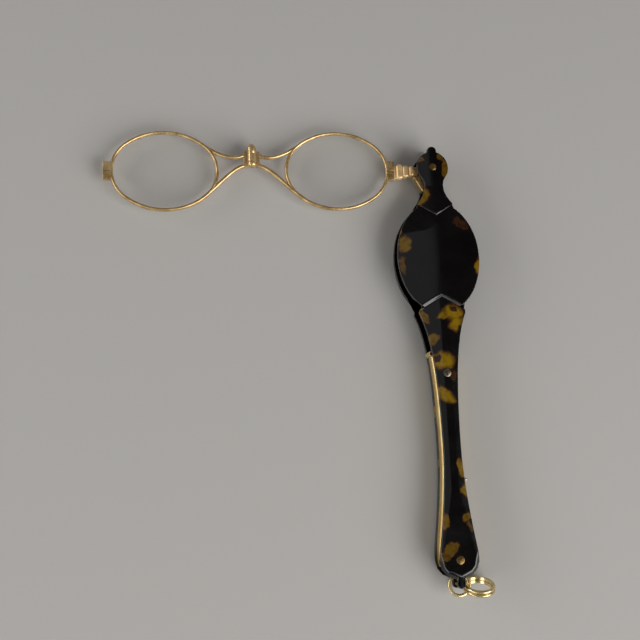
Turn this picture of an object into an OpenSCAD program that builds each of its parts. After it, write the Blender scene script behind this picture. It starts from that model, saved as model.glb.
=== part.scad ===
// Folding lorgnette: a gold-coloured spectacle front that folds in half at its bridge
// and swings into the slot between two tortoiseshell plates that make the handle.
// The handle runs along Y with its head towards +Y, and the open front points to -X.
// The origin lies on the flat land under the case, below the middle of the case.
// A station is a distance from the swing pivot towards the tail.

/* [Front] */
// Distance between the centres of the two lenses
pupil_distance = 60; // [56:0.5:66]
// Distance from the swing pivot to the centre of the right lens
lens_reach = 33.4; // [32:0.1:36]
// Width of one rim, outside
rim_w = 37; // [34:0.5:37.5]
// Height of one rim, outside
rim_h = 28.6; // [25:0.2:28.8]
// Width of the rim wire, seen from the front
wire_w = 1.05; // [0.8:0.05:1.3]
// Depth of the rim wire, front to back
wire_d = 1.8; // [1.4:0.1:2]
// Thickness of a lens
lens_t = 1.1; // [0.8:0.1:1.3]
// Depth of the lens groove in the rim wire
groove = 0.3; // [0.1:0.05:0.4]
// Width of the bridge arms
arm_w = 1.15; // [0.9:0.05:1.4]
// Radius of the bridge barrel
barrel_r = 1.5; // [1.3:0.05:1.6]
// Length of the bridge barrel
barrel_len = 8.1; // [7.4:0.1:9]
// Distance of the barrel's lower end above the line through the lens centres
barrel_low = 1.25; // [0.8:0.05:1.6]
// Radius of the bridge pin
bridge_pin_r = 0.5; // [0.35:0.05:0.6]
// Height of the end block's first rib, across the front
rib_h = 7; // [6:0.2:8]
// Radius of the closing screws
closing_r = 0.4; // [0.3:0.05:0.5]

/* [Handle] */
// Space between the two plates
gap = 5; // [4.6:0.1:6]
// Thickness of a plate at the case
plate_t = 2; // [1.8:0.1:2.6]
// Thickness of a plate at the head and along the shank
shank_t = 1.7; // [1.5:0.1:1.75]
// Thickness of a plate at its outer edge
edge_t = 0.9; // [0.6:0.1:1.2]
// Half of the case's width
case_hw = 14.6; // [14:0.1:16]
// Half of the case's length
case_hl = 19.9; // [19.5:0.1:20.5]
// Radius of the round head
head_r = 5.7; // [5.2:0.1:6.2]
// Half of the neck's width
neck_hw = 3.35; // [2.8:0.05:3.8]
// Half of the shoulder's width
shoulder_hw = 8.25; // [7.6:0.05:9]
// Half of the shank's width at its waist
waist_hw = 3.05; // [2.8:0.05:3.4]
// Half of the pear end's width
pear_hw = 6.8; // [6:0.1:7.6]
// Distance from the swing pivot to the shank's waist
waist_s = 98; // [94:1:102]
// Distance from the swing pivot to the tail rivet
tail_s = 135.4; // [132:0.2:140]
// Distance from the tail rivet to the end of the plates
pear_len = 6.6; // [6:0.1:7.5]
// Width of the flat land under the case
land_w = 12; // [8:0.5:16]

/* [Rivets and pins] */
// Radius of the swing pivot
pivot_r = 0.8; // [0.6:0.05:1]
// Radius of the pivot's heads
pivot_head_r = 1.25; // [1.1:0.05:1.6]
// Radius of the shank and tail rivets
rivet_r = 0.8; // [0.6:0.05:1]
// Radius of the rivets' heads
rivet_head_r = 1.4; // [1.2:0.05:1.7]
// Height of a rivet head above its plate
head_t = 0.28; // [0.2:0.02:0.3]
// Distance from the swing pivot to the shank rivet
rivet_s = 73; // [71:0.5:76]
// Radial clearance of a pin that turns in its hole
running_fit = 0.04; // [0.02:0.01:0.08]
// Clearance round a rivet or a screw that stands still
seat_fit = 0.02; // [0.01:0.005:0.04]
// Clearance between faces that slide past each other
slide_gap = 0.05; // [0.03:0.01:0.1]

/* [Strips and button] */
// Distance of the strips' outer faces inside the plates' edge
strip_inset = 0.55; // [0.4:0.05:0.8]
// Thickness of the two brass strips
strip_t = 0.95; // [0.7:0.05:1.1]
// Radius of the rolled nose of the catch strip
nose_r = 0.9; // [0.7:0.05:1]
// Distance from the swing pivot to the rolled nose
nose_s = 66.6; // [66.4:0.1:68]
// Distance from the swing pivot to the button
button_s = 109; // [104:0.5:116]
// Radius of the button's stem
stem_r = 0.42; // [0.35:0.01:0.5]
// Radius of the button's ball
ball_r = 0.62; // [0.55:0.01:0.7]
// How far the button travels when it is pressed
press_travel = 0.6; // [0.4:0.05:0.8]

/* [Rings] */
// Thickness of the jump ring's wire
jump_wire = 1; // [0.8:0.05:1.1]
// Outside diameter of the jump ring
jump_d = 7.8; // [7.6:0.1:8.2]
// Outside diameter of the split ring
split_d = 10.8; // [10.4:0.1:12]
// Inside diameter of the split ring
split_bore = 8.8; // [8.4:0.1:9.2]
// Width of one turn of the split ring
split_wire = 1.15; // [1:0.05:1.2]
// Lean of the split ring away from upright
split_lean = 26; // [20:1:30]
// Radius of the pin that carries the jump ring
ring_pin_r = 0.5; // [0.4:0.05:0.6]
// Distance from the end of the plates to the ring pin
ring_pin_s = 1.3; // [1.1:0.1:1.6]
// Half of the tail tab's width
tab_hw = 1.4; // [1.2:0.1:1.8]

/* [Hidden] */

// Colours of the real materials
shell = "#2a1a12";
gold = "#b8924e";
steel = "#b9b7b2";
clear = "#dfe8ea";

// Curves are drawn with this many sides where they are not exact
$fn = 48;

// Heights above the surface that the lorgnette lies on
mid_z = plate_t + gap / 2;
top_z = 2 * plate_t + gap;

// The case lies round the right lens, a little nearer the pivot
case_lead = 1;
case_s = lens_reach - case_lead;
pivot_y = case_s;

// Stations of the outline
neck_s = head_r + 1.2;
flare_s = case_s - case_hl + 0.7;
flare_hw = neck_hw + 2.9;
notch_in = 2.2;
oval_from = case_s - case_hl + notch_in;
oval_to = case_s + case_hl - notch_in;
shoulder_s = oval_to + 2.1;
pear_s = tail_s;
end_s = pear_s + pear_len;
pear_power = 2.6;
knob_r = 1.65;
knob_s = -(head_r + 0.15);
chevron_top = 2.6;
chevron_bottom = 3.8;
outline_steps = 12;

// Distance between a lens centre and the middle of the bridge
half_pd = pupil_distance / 2;
bridge_x = -(lens_reach + half_pd);

// Levels of the front. The right half lies low in the slot, the left half folds over it
fold_gap = 0.3;
rim_top = mid_z - fold_gap / 2;
rim_low = rim_top - wire_d;

// The rim is an oval of four arcs that meet on the slope of a 3-4-5 triangle
rim_a = rim_w / 2;
rim_b = rim_h / 2;
end_x = 1.5 * (rim_a - rim_b);
side_y = 2 * (rim_a - rim_b);
end_arc_r = rim_a - end_x;
side_arc_r = rim_b + side_y;
far = 10;

// The end block reaches from the right rim's lugs to the hub, with ribs at an even pitch
hub_r = head_r - 1.1;
thumb_lug = hub_r * [[-0.74, -0.57], [-1.5, -0.61], [-1.28, -0.91], [-1.07, -1.3], [-0.87, -1.67],
    [-0.65, -1.8], [-0.46, -1.65], [-0.26, -0.87]];
rib_1_w = 2.5;
lug_lap = 0.65;
block_x = lens_reach - rim_a + lug_lap - rib_1_w;
rib_pitch = (block_x - hub_r) / 4;
rib_2_x = block_x - 0.9 * rib_pitch;
rib_drop = 0.5;
core_h = 2.2;
washer_t = 0.35;
lug_step = 0.4;
hub_t = gap - 2 * washer_t - 2 * slide_gap;
slit = 0.16;

// The tail eye of the catch strip sits between two spacers
eye_r = 1.9;
eye_t = 2;
spacer_r = 2.3;
strip_foot_s = end_s - 4.6;
strip_height = gap - 2 * slide_gap;

// The button pushes the catch strip, which turns about the tail rivet
bush_t = 0.45;
bush_r = ball_r + 0.45;
bush_neck_r = stem_r + 0.35;
bush_lift = 0.08;
stem_gap = 0.1;
backing_from = nose_s + 1.4;

// Places of the rings, seen from the ring pin
ring_pin_y = pivot_y - end_s - ring_pin_s;
ring_pin_depth = 0.9;
jump_r = (jump_d - jump_wire) / 2;
jump_at = [0.2, -0.35];
link_at = [1.6, -0.4];
split_gap = 0.1;
split_stack = 2 * split_wire + split_gap;
split_r = (split_d + split_bore) / 4;
split_low = 0.06;
split_z = split_low + split_d / 2 * cos(split_lean) + split_stack / 2 * sin(split_lean);
split_x = jump_at[0] + link_at[0] + sqrt(pow(split_r, 2) - pow((split_z - mid_z) / cos(split_lean), 2));
split_y = ring_pin_y + jump_at[1] + link_at[1] - (split_z - mid_z) * tan(split_lean);

// A point on a cubic curve between a and d, with b and c pulling it
function bezier(a, b, c, d, t) =
    pow(1 - t, 3) * a + 3 * t * pow(1 - t, 2) * b + 3 * pow(t, 2) * (1 - t) * c + pow(t, 3) * d;
function curve(a, b, c, d, n = outline_steps) = [for (i = [1:n]) bezier(a, b, c, d, i / n)];

// Half-widths of the case and of the pear end at a station
function oval_hw(s) = case_hw * sqrt(1 - pow((s - case_s) / case_hl, 2));
function pear_end_hw(u) = pear_hw * pow(1 - pow(u, pear_power), 1 / pear_power);

// One side of the plates' outline as [half-width, station] points, from head to tail
neck_curve = curve([4.42, 3.6], [3.6, 4.9], [neck_hw, neck_s - 1.3], [neck_hw, neck_s]);
flare_curve = curve([neck_hw, neck_s], [neck_hw, neck_s + 2.4], [flare_hw - 1.6, flare_s - 1.9],
    [flare_hw, flare_s]);
oval_side = [for (i = [0:2 * outline_steps])
    let (s = case_s - (case_hl - notch_in) * cos(180 * i / (2 * outline_steps))) [oval_hw(s), s]];
shoulder_curve = curve([oval_hw(oval_to), oval_to], [shoulder_hw - 0.2, oval_to + 0.3],
    [shoulder_hw + 0.05, shoulder_s - 1], [shoulder_hw, shoulder_s]);
shank_curve = curve([shoulder_hw, shoulder_s], [shoulder_hw - 2.7, shoulder_s + 6.3],
    [waist_hw, shoulder_s + 15.8], [waist_hw, waist_s]);
pear_curve = curve([waist_hw, waist_s], [waist_hw + 0.05, waist_s + 16], [pear_hw - 0.5, pear_s - 4.6],
    [pear_hw, pear_s]);
pear_end = [for (i = [1:outline_steps])
    let (u = sin(90 * i / outline_steps)) [pear_end_hw(u), pear_s + pear_len * u]];
side_points = concat(neck_curve, flare_curve, oval_side, shoulder_curve, shank_curve, pear_curve, pear_end);

// Half-width of the outline at a station below the shoulder, between its points
lower_side = concat([[shoulder_hw, shoulder_s]], shank_curve, pear_curve, pear_end);
function side_hw(s) = lookup(s, [for (p = lower_side) [p[1], p[0]]]);

// Puts children at the swing pivot, seen from above
module at_pivot(z = 0) {
    translate([0, pivot_y, z]) children();
}

// Outline of a plate, seen from above, with the pivot at the origin and the tail towards -Y
module plate_outline() {
    right = [for (p = side_points) [p[0], -p[1]]];
    left = [for (i = [len(side_points) - 1:-1:0]) [-side_points[i][0], -side_points[i][1]]];
    polygon(concat([[4.42, -3.6]], right, left, [[-4.42, -3.6]]));
    circle(r = head_r);
    translate([0, -knob_s]) circle(r = knob_r);
    translate([0, -knob_s - 1.2]) square([2 * knob_r + 0.5, 1.6], center = true);
    translate([0, -end_s - ring_pin_s]) circle(r = tab_hw);
    translate([0, -end_s]) square([2 * tab_hw - 0.7, 2 * ring_pin_s], center = true);
}

// A bar along Y whose top falls from a middle height to the edge like a low roof
module roof(from, to, hw, middle_t, flat_w) {
    translate([0, -from, 0]) rotate([90, 0, 0]) linear_extrude(to - from)
        polygon([[-hw, 0], [hw, 0], [hw, edge_t], [flat_w / 2, middle_t], [-flat_w / 2, middle_t],
            [-hw, edge_t]]);
}

// The part of the outline inside a mask, cut to a roof
module faced_part(mask, from, to, hw, middle_t, flat_w) {
    intersection() {
        linear_extrude(plate_t) intersection() {
            plate_outline();
            polygon(mask);
        }
        roof(from, to, hw, middle_t, flat_w);
    }
}

// A plate with its inner face at zero, its facets up and its holes drilled
module plate(flat_w) {
    wide = case_hw + 2;
    top = -20;
    mouth = oval_from - 0.3;
    root = oval_to + 0.3;
    difference() {
        union() {
            faced_part([[-wide, -top], [wide, -top], [wide, -mouth], [0, -mouth - chevron_top],
                [-wide, -mouth]], top, mouth + chevron_top, head_r + 1, shank_t, 0.4);
            faced_part([[-wide, -mouth], [0, -mouth - chevron_top], [wide, -mouth], [wide, -root],
                [0, -root + chevron_bottom], [-wide, -root]], mouth, root, case_hw, plate_t, flat_w);
            faced_part([[-wide, -root], [0, -root + chevron_bottom], [wide, -root],
                [wide, -end_s - 9], [-wide, -end_s - 9]], root - chevron_bottom, end_s + 9,
                shoulder_hw + 0.4, shank_t, 2.4);
        }
        translate([0, 0, -1]) cylinder(r = pivot_r + running_fit, h = plate_t + 2);
        translate([0, -rivet_s, -1]) cylinder(r = rivet_r + seat_fit, h = plate_t + 2);
        translate([0, -tail_s, -1]) cylinder(r = rivet_r + seat_fit, h = plate_t + 2);
        translate([0, -end_s - ring_pin_s, -1]) cylinder(r = ring_pin_r + seat_fit, h = 1 + ring_pin_depth);
    }
}

module upper_plate() {
    color(shell) at_pivot(mid_z + gap / 2) plate(0.4);
}

module lower_plate() {
    color(shell) at_pivot(mid_z - gap / 2) mirror([0, 0, 1]) plate(land_w);
}

// A low domed head, from half of a ball cut off flat
module rivet_head(r) {
    ball = (pow(r, 2) + pow(head_t, 2)) / (2 * head_t);
    intersection() {
        translate([0, 0, head_t - ball]) sphere(r = ball);
        cylinder(r = r, h = head_t);
    }
}

// A rivet through both plates, with a head on each face of the shank
module rivet(r, head, lift) {
    reach = gap / 2 + shank_t;
    at_pivot(mid_z) {
        cylinder(r = r, h = 2 * (reach + lift), center = true);
        for (side = [0, 1]) mirror([0, 0, side]) translate([0, 0, reach + lift]) rivet_head(head);
    }
}

// The swing pivot turns with the front, so its heads stand just clear of the plates
module pivot_pin() {
    color(gold) rivet(pivot_r, pivot_head_r, 0.01);
}

module shank_rivet() {
    color(steel) difference() {
        translate([0, -rivet_s, 0]) rivet(rivet_r, rivet_head_r, 0);
        translate([0, pivot_y - rivet_s, mid_z + gap / 2 + shank_t + head_t])
            cube([0.35, 3, 0.3], center = true);
    }
}

module tail_rivet() {
    color(gold) translate([0, -tail_s, 0]) rivet(rivet_r, rivet_head_r, 0);
}

// A sleeve round a rivet, with its lower face at zero
module sleeve(outer, bore, height) {
    difference() {
        cylinder(r = outer, h = height);
        translate([0, 0, -1]) cylinder(r = bore, h = height + 2);
    }
}

// Two washers keep the hub off the plates
module pivot_washers() {
    color(gold) at_pivot(mid_z) for (side = [0, 1])
        mirror([0, 0, side]) translate([0, 0, gap / 2 - washer_t])
            sleeve(hub_r - 1, pivot_r + running_fit, washer_t);
}

module shank_spacer() {
    color(gold) translate([0, pivot_y - rivet_s, mid_z - gap / 2])
        sleeve(rivet_r + 0.8, rivet_r + seat_fit, gap);
}

// Two spacers carry the catch strip's eye between them
module tail_spacers() {
    height = (gap - eye_t) / 2 - slide_gap;
    color(gold) translate([0, pivot_y - tail_s, mid_z]) for (side = [0, 1])
        mirror([0, 0, side]) translate([0, 0, gap / 2 - height])
            sleeve(spacer_r, rivet_r + seat_fit, height);
}

// Points along one side of the shank, moved inwards by a distance
function inner_side(from, to, inset) = [for (i = [0:30])
    let (s = from + (to - from) * i / 30) [side_hw(s) - inset, -s]];

// A band that follows the right edge of the shank between two stations
module edge_band(from, to) {
    outer = inner_side(from, to, strip_inset);
    inner = inner_side(from, to, strip_inset + strip_t);
    polygon(concat(outer, [for (i = [len(inner) - 1:-1:0]) inner[i]]));
}

// The fixed strip on the right holds the plates apart and guides the button
module backing_strip() {
    color(gold) difference() {
        at_pivot(mid_z - gap / 2) linear_extrude(gap) edge_band(backing_from, strip_foot_s);
        button_axis(0) cylinder(r = bush_neck_r + seat_fit, h = 10, center = true);
    }
}

// Puts children on the button's axis, a distance out from the shank's right edge
module button_axis(out) {
    translate([side_hw(button_s) + out, pivot_y - button_s, mid_z]) rotate([0, 90, 0]) children();
}

// A flanged bush in the backing strip guides the button's stem
module button_bush() {
    color(steel) difference() {
        union() {
            button_axis(-strip_inset + bush_lift) cylinder(r = bush_r, h = bush_t);
            button_axis(-strip_inset - strip_t) cylinder(r = bush_neck_r, h = strip_t + bush_lift + 0.01);
        }
        button_axis(0) cylinder(r = stem_r + running_fit, h = 10, center = true);
    }
}

// The button's stem crosses the shank and ends just short of the catch strip
module release_button() {
    out = bush_t - strip_inset + bush_lift + press_travel + ball_r + 0.1;
    reach = 2 * side_hw(button_s) - strip_inset - strip_t - stem_gap;
    color(steel) {
        button_axis(out) sphere(r = ball_r);
        button_axis(-reach) cylinder(r = stem_r, h = reach + out);
    }
}

// The spring strip on the left: rolled nose, long leaf, and a foot with an eye round the tail rivet
module catch_strip() {
    foot = side_hw(strip_foot_s) - strip_inset;
    nose_x = side_hw(nose_s) - strip_inset - nose_r;
    color(gold) at_pivot(mid_z) {
        translate([0, 0, -strip_height / 2]) linear_extrude(strip_height)
            mirror([1, 0]) edge_band(nose_s, strip_foot_s);
        translate([-nose_x, -nose_s, -strip_height / 2]) cylinder(r = nose_r, h = strip_height);
        difference() {
            translate([0, 0, -eye_t / 2]) linear_extrude(eye_t) {
                translate([0, -tail_s]) circle(r = eye_r);
                polygon([[-foot + 0.3, -strip_foot_s], [-foot + 0.3, -strip_foot_s + 1.6], [0, -tail_s + 1],
                    [0, -tail_s - 1.4]]);
            }
            translate([0, -tail_s, -gap]) cylinder(r = rivet_r + running_fit, h = 2 * gap);
        }
    }
}

// A blind pin between the two tail tabs carries the jump ring
module ring_pin() {
    color(gold) translate([0, ring_pin_y, mid_z])
        cylinder(r = ring_pin_r, h = gap + 2 * ring_pin_depth - 0.04, center = true);
}

// The rim's oval, drawn in by an inset, its middle at the origin
module oval(inset = 0) {
    for (side = [0, 1]) mirror([0, side]) intersection() {
        translate([0, -side_y]) circle(r = side_arc_r - inset);
        polygon([[0, -side_y], [3 * far, 4 * far - side_y], [-3 * far, 4 * far - side_y]]);
    }
    for (side = [0, 1]) mirror([side, 0]) intersection() {
        translate([end_x, 0]) circle(r = end_arc_r - inset);
        polygon([[end_x, 0], [end_x + 3 * far, -4 * far], [end_x + 3 * far, 4 * far]]);
    }
}

// Rim wire with its lens groove and closing slit, lens centre at the origin, outer end towards +X
module rim() {
    translate([0, 0, rim_low]) difference() {
        union() {
            linear_extrude(wire_d) difference() {
                oval();
                oval(wire_w);
            }
            children();
        }
        translate([0, 0, (wire_d - lens_t) / 2 - slide_gap]) linear_extrude(lens_t + 2 * slide_gap)
            oval(wire_w - groove);
        translate([rim_a, 0, 0]) cube([8, slit, 3 * wire_d], center = true);
    }
}

module lens() {
    translate([0, 0, rim_low + (wire_d - lens_t) / 2])
        linear_extrude(lens_t) oval(wire_w - groove + slide_gap);
}

// Two lugs beside the slit, with the closing screw's hole through both
module closing_lugs(x, w, h) {
    difference() {
        translate([x - w / 2, -h / 2, 0]) cube([w, h, wire_d]);
        translate([x, 0, wire_d / 2]) rotate([90, 0, 0])
            cylinder(r = closing_r + seat_fit, h = h + 2, center = true);
    }
}

// A screw that draws the two lugs together, its head sunk at the lower lug
module closing_screw(x, h) {
    translate([x, 0, rim_low + wire_d / 2]) rotate([90, 0, 0])
        cylinder(r = closing_r, h = h - 0.2, center = true);
}

// The left lug is a slim bar past the rim's end, joined by a dished web
left_lug_w = 1.3;
left_lug_h = 6.4;
left_lug_x = rim_a + 1.65;
web_h = 4.8;

module place_right() {
    translate([-lens_reach, pivot_y, 0]) children();
}

module place_left() {
    translate([-lens_reach - pupil_distance, pivot_y, 0]) mirror([1, 0, 0]) children();
}

module right_rim() {
    color(gold) place_right() rim() closing_lugs(lens_reach - block_x - rib_1_w / 2, rib_1_w, rib_h);
}

module left_rim() {
    color(gold) place_left() rim() {
        closing_lugs(left_lug_x, left_lug_w, left_lug_h);
        translate([rim_a - wire_w / 2, -web_h / 2, 0.35])
            cube([left_lug_x - rim_a, web_h, wire_d - 0.7]);
    }
}

module right_lens() {
    color(clear, 0.35) place_right() lens();
}

module left_lens() {
    color(clear, 0.35) place_left() lens();
}

module right_closing_screw() {
    color(gold) place_right() closing_screw(lens_reach - block_x - rib_1_w / 2, rib_h);
}

module left_closing_screw() {
    color(gold) place_left() closing_screw(left_lug_x, left_lug_h);
}

// A rib of the end block, centred at x, a width across the front and a height above the rim's foot
module rib(x, w, h, lift) {
    translate([-x - w / 2, -h / 2 - rib_drop, rim_low]) cube([w, h, wire_d + lift]);
}

// Stepped ribs between the rim's lugs and the hub, on a common core
module end_block() {
    color(gold) translate([0, pivot_y, 0]) {
        rib(rib_2_x, 2.1, 5.3, 0.9);
        rib(rib_2_x - rib_pitch, 1.7, 3.6, 1.2);
        rib(rib_2_x - 2 * rib_pitch, 1.4, 3.4, 1.5);
        difference() {
            translate([-block_x, -core_h / 2 - rib_drop, rim_low])
                cube([block_x - hub_r + 0.6, core_h, wire_d]);
            translate([0, 0, -1]) cylinder(r = hub_r, h = top_z);
        }
    }
}

// The hub turns on the pivot between the washers, with a thumb lug beside the neck
module swing_hub() {
    color(gold) at_pivot(mid_z - hub_t / 2) difference() {
        union() {
            cylinder(r = hub_r - slide_gap, h = hub_t);
            translate([0, 0, lug_step]) linear_extrude(hub_t - 2 * lug_step) polygon(thumb_lug);
        }
        translate([0, 0, -1]) cylinder(r = pivot_r + running_fit, h = hub_t + 2);
    }
}

// Lengths of the three knuckles along the barrel, from its lower end
low_knuckle = 1.85;
mid_knuckle = 2.8;
knuckle_gap = 0.06;
plate_in = barrel_r + 0.12;
plate_out = plate_in + 1.2;
plate_low = barrel_low + 0.15;
plate_high = barrel_low + 5.7;

// A band of constant width along a cubic curve
module curved_arm(a, b, c, d) {
    steps = 10;
    points = [for (i = [0:steps]) bezier(a, b, c, d, i / steps)];
    function heading(i) = points[min(i + 1, steps)] - points[max(i - 1, 0)];
    function side(i, k) = points[i] + k * arm_w / 2 * [-heading(i)[1], heading(i)[0]] / norm(heading(i));
    polygon(concat([for (i = [0:steps]) side(i, 1)], [for (i = [steps:-1:0]) side(i, -1)]));
}

// A point on the inner side of the rim wire, at an angle above the line to the bridge
function rim_point(angle) =
    [half_pd - (rim_a - wire_w) * cos(angle), (rim_b - wire_w) * sin(angle)];

// Both arms of one half of the bridge and the plate that joins them, bridge centre at the origin
// and the rim towards +X. The upper arm meets the rim high up, the lower one runs along it
module bridge_arms() {
    upper_foot = rim_point(34);
    lower_foot = rim_point(-46);
    span = half_pd - rim_a;
    rise = barrel_len;
    translate([0, 0, rim_low + 0.1]) linear_extrude(wire_d - 0.2) difference() {
        union() {
            curved_arm([plate_out - 0.4, plate_high - 1.1], [0.565 * span, 0.445 * rise],
                [0.915 * span, 0.615 * rise], upper_foot);
            curved_arm([plate_out - 0.4, plate_low + 0.6], [0.65 * span, 0.11 * rise],
                [span, -0.27 * rise], lower_foot);
            translate([plate_in, plate_low]) square([plate_out - plate_in, plate_high - plate_low]);
        }
        translate([half_pd, 0]) oval();
    }
}

// A knuckle of the barrel and the web that ties it to its plate
module knuckle(from, length) {
    translate([0, from, mid_z]) rotate([-90, 0, 0]) cylinder(r = barrel_r, h = length);
    web_from = max(from, plate_low);
    web_to = min(from + length, plate_high);
    translate([0.4, web_from, mid_z - barrel_r]) cube([plate_in - 0.2, web_to - web_from, barrel_r - fold_gap / 2]);
}

module bridge_bore() {
    translate([0, barrel_low - 1, mid_z]) rotate([-90, 0, 0])
        cylinder(r = bridge_pin_r + running_fit, h = barrel_len + 0.2);
}

module place_bridge() {
    translate([bridge_x, pivot_y, 0]) children();
}

// The right half of the bridge has the middle knuckle
module right_bridge() {
    color(gold) place_bridge() difference() {
        union() {
            bridge_arms();
            knuckle(barrel_low + low_knuckle + knuckle_gap, mid_knuckle - 2 * knuckle_gap);
        }
        bridge_bore();
    }
}

// The left half has the lower knuckle and the upper one, which ends in a dome
module left_bridge() {
    upper_from = barrel_low + low_knuckle + mid_knuckle;
    dome_y = barrel_low + barrel_len - barrel_r;
    color(gold) place_bridge() mirror([1, 0, 0]) difference() {
        union() {
            bridge_arms();
            knuckle(barrel_low, low_knuckle);
            knuckle(upper_from, dome_y - upper_from);
            translate([0, dome_y, mid_z]) intersection() {
                sphere(r = barrel_r);
                translate([-2 * barrel_r, 0, -2 * barrel_r]) cube(4 * barrel_r);
            }
        }
        bridge_bore();
    }
}

module bridge_pin() {
    color(steel) place_bridge() translate([0, barrel_low + 0.1, mid_z]) rotate([-90, 0, 0])
        cylinder(r = bridge_pin_r, h = barrel_len - 1);
}

module jump_ring() {
    color(gold) translate([jump_at[0], ring_pin_y + jump_at[1], mid_z])
        rotate_extrude($fn = 96) translate([jump_r, 0]) circle(d = jump_wire, $fn = 24);
}

// Flat section of the split ring's wire, with its outer corners cut, centred on its own turn
module split_section() {
    cut = 0.22;
    low = -split_wire / 2;
    polygon([[split_bore / 2, low], [split_d / 2 - cut, low], [split_d / 2, low + cut],
        [split_d / 2, -low - cut], [split_d / 2 - cut, -low], [split_bore / 2, -low]]);
}

// Two flat turns of wire joined by a short step from one to the other
module split_ring() {
    step_from = 82;
    step_to = 98;
    free_gap = 2;
    slice = 0.5;
    turn_angle = 360 - step_to + step_from - free_gap;
    pitch = split_wire + split_gap;
    color(gold) translate([split_x, split_y, split_z]) rotate([90 + split_lean, 0, 0]) {
        translate([0, 0, -pitch / 2]) rotate([0, 0, step_to + free_gap])
            rotate_extrude(angle = turn_angle, $fn = 96) split_section();
        translate([0, 0, pitch / 2]) rotate([0, 0, step_to])
            rotate_extrude(angle = turn_angle, $fn = 96) split_section();
        hull() {
            translate([0, 0, -pitch / 2]) rotate([0, 0, step_from - slice])
                rotate_extrude(angle = slice, $fn = 96) split_section();
            translate([0, 0, pitch / 2]) rotate([0, 0, step_to])
                rotate_extrude(angle = slice, $fn = 96) split_section();
        }
    }
}

upper_plate();
lower_plate();
pivot_washers();
shank_rivet();
tail_rivet();
shank_spacer();
tail_spacers();
backing_strip();
button_bush();
ring_pin();
catch_strip();
release_button();
pivot_pin();
swing_hub();
end_block();
right_rim();
right_lens();
right_bridge();
right_closing_screw();
bridge_pin();
left_rim();
left_lens();
left_bridge();
left_closing_screw();
jump_ring();
split_ring();
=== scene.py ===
"""Folding lorgnette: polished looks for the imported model, with a camera, a floor and soft light.

Sizes are in millimetres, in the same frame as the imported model: the handle runs along Y with its
head towards +Y, the open front points to -X, and the lorgnette lies on the plane Z = 0.
"""

import logging
import math
from collections.abc import Callable, Iterable, Sequence
from dataclasses import dataclass, field, replace
from enum import Enum

import bmesh
import bpy
from bmesh.types import BMEdge, BMesh, BMFace, BMVert
from bpy.types import ID, Material, Node, NodeSocket, NodeTree, Object
from mathutils import Matrix, Vector
from mathutils.geometry import interpolate_bezier


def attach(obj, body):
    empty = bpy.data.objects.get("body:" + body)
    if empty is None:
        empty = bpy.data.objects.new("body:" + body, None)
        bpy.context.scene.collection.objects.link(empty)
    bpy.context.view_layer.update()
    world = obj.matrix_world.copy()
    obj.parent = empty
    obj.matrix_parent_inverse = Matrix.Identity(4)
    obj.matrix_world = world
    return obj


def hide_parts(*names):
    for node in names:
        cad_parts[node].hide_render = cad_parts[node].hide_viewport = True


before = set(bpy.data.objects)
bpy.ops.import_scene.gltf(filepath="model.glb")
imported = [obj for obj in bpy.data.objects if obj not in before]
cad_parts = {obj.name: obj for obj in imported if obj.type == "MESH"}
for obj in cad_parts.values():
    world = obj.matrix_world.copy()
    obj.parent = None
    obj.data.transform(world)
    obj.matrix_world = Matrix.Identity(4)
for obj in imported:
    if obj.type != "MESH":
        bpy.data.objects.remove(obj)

logging.basicConfig(level=logging.INFO, format="%(message)s")
log = logging.getLogger("lorgnette")

MM = 0.001
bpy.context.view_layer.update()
UPRIGHT = Matrix.Identity(3)

Colour = tuple[float, float, float, float]
Plan = tuple[float, float]
Place = tuple[float, float, float]


class Body(Enum):
    """The moving bodies that the new pieces ride on."""

    HANDLE = "handle"
    STRIP = "strip"
    RIGHT_FRONT = "right_front"
    LEFT_FRONT = "left_front"
    JUMP_RING = "jump_ring"
    SPLIT_RING = "split_ring"


class Slot(Enum):
    """Three finish names, which no piece in this script is given."""

    SHELL = "tortoiseshell"
    GILT = "gilt_brass"
    GLASS = "lens_glass"


class Side(Enum):
    """The two halves of the front, with the sign of the way from the bridge to the rim's outer end."""

    RIGHT = 1
    LEFT = -1


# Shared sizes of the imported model


@dataclass(frozen=True)
class Handle:
    """Sizes that the handle's pieces share, with stations measured from the swing pivot."""

    pivot_y: float = 32.4
    mid_z: float = 4.5
    gap: float = 5.0
    case_s: float = 32.4
    case_hw: float = 14.6
    case_hl: float = 19.9
    notch: float = 2.2
    head_r: float = 5.7
    neck_s: float = 6.9
    neck_hw: float = 3.35
    flare_s: float = 13.2
    flare_hw: float = 6.25
    shoulder_s: float = 52.2
    shoulder_hw: float = 8.25
    waist_s: float = 98.0
    waist_hw: float = 3.05
    pear_s: float = 135.4
    pear_hw: float = 6.8
    pear_len: float = 6.6
    pear_power: float = 2.6
    knob_r: float = 1.65
    knob_s: float = -5.85
    tab_hw: float = 1.4
    tab_s: float = 143.3
    tab_lap: float = 0.3


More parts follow.
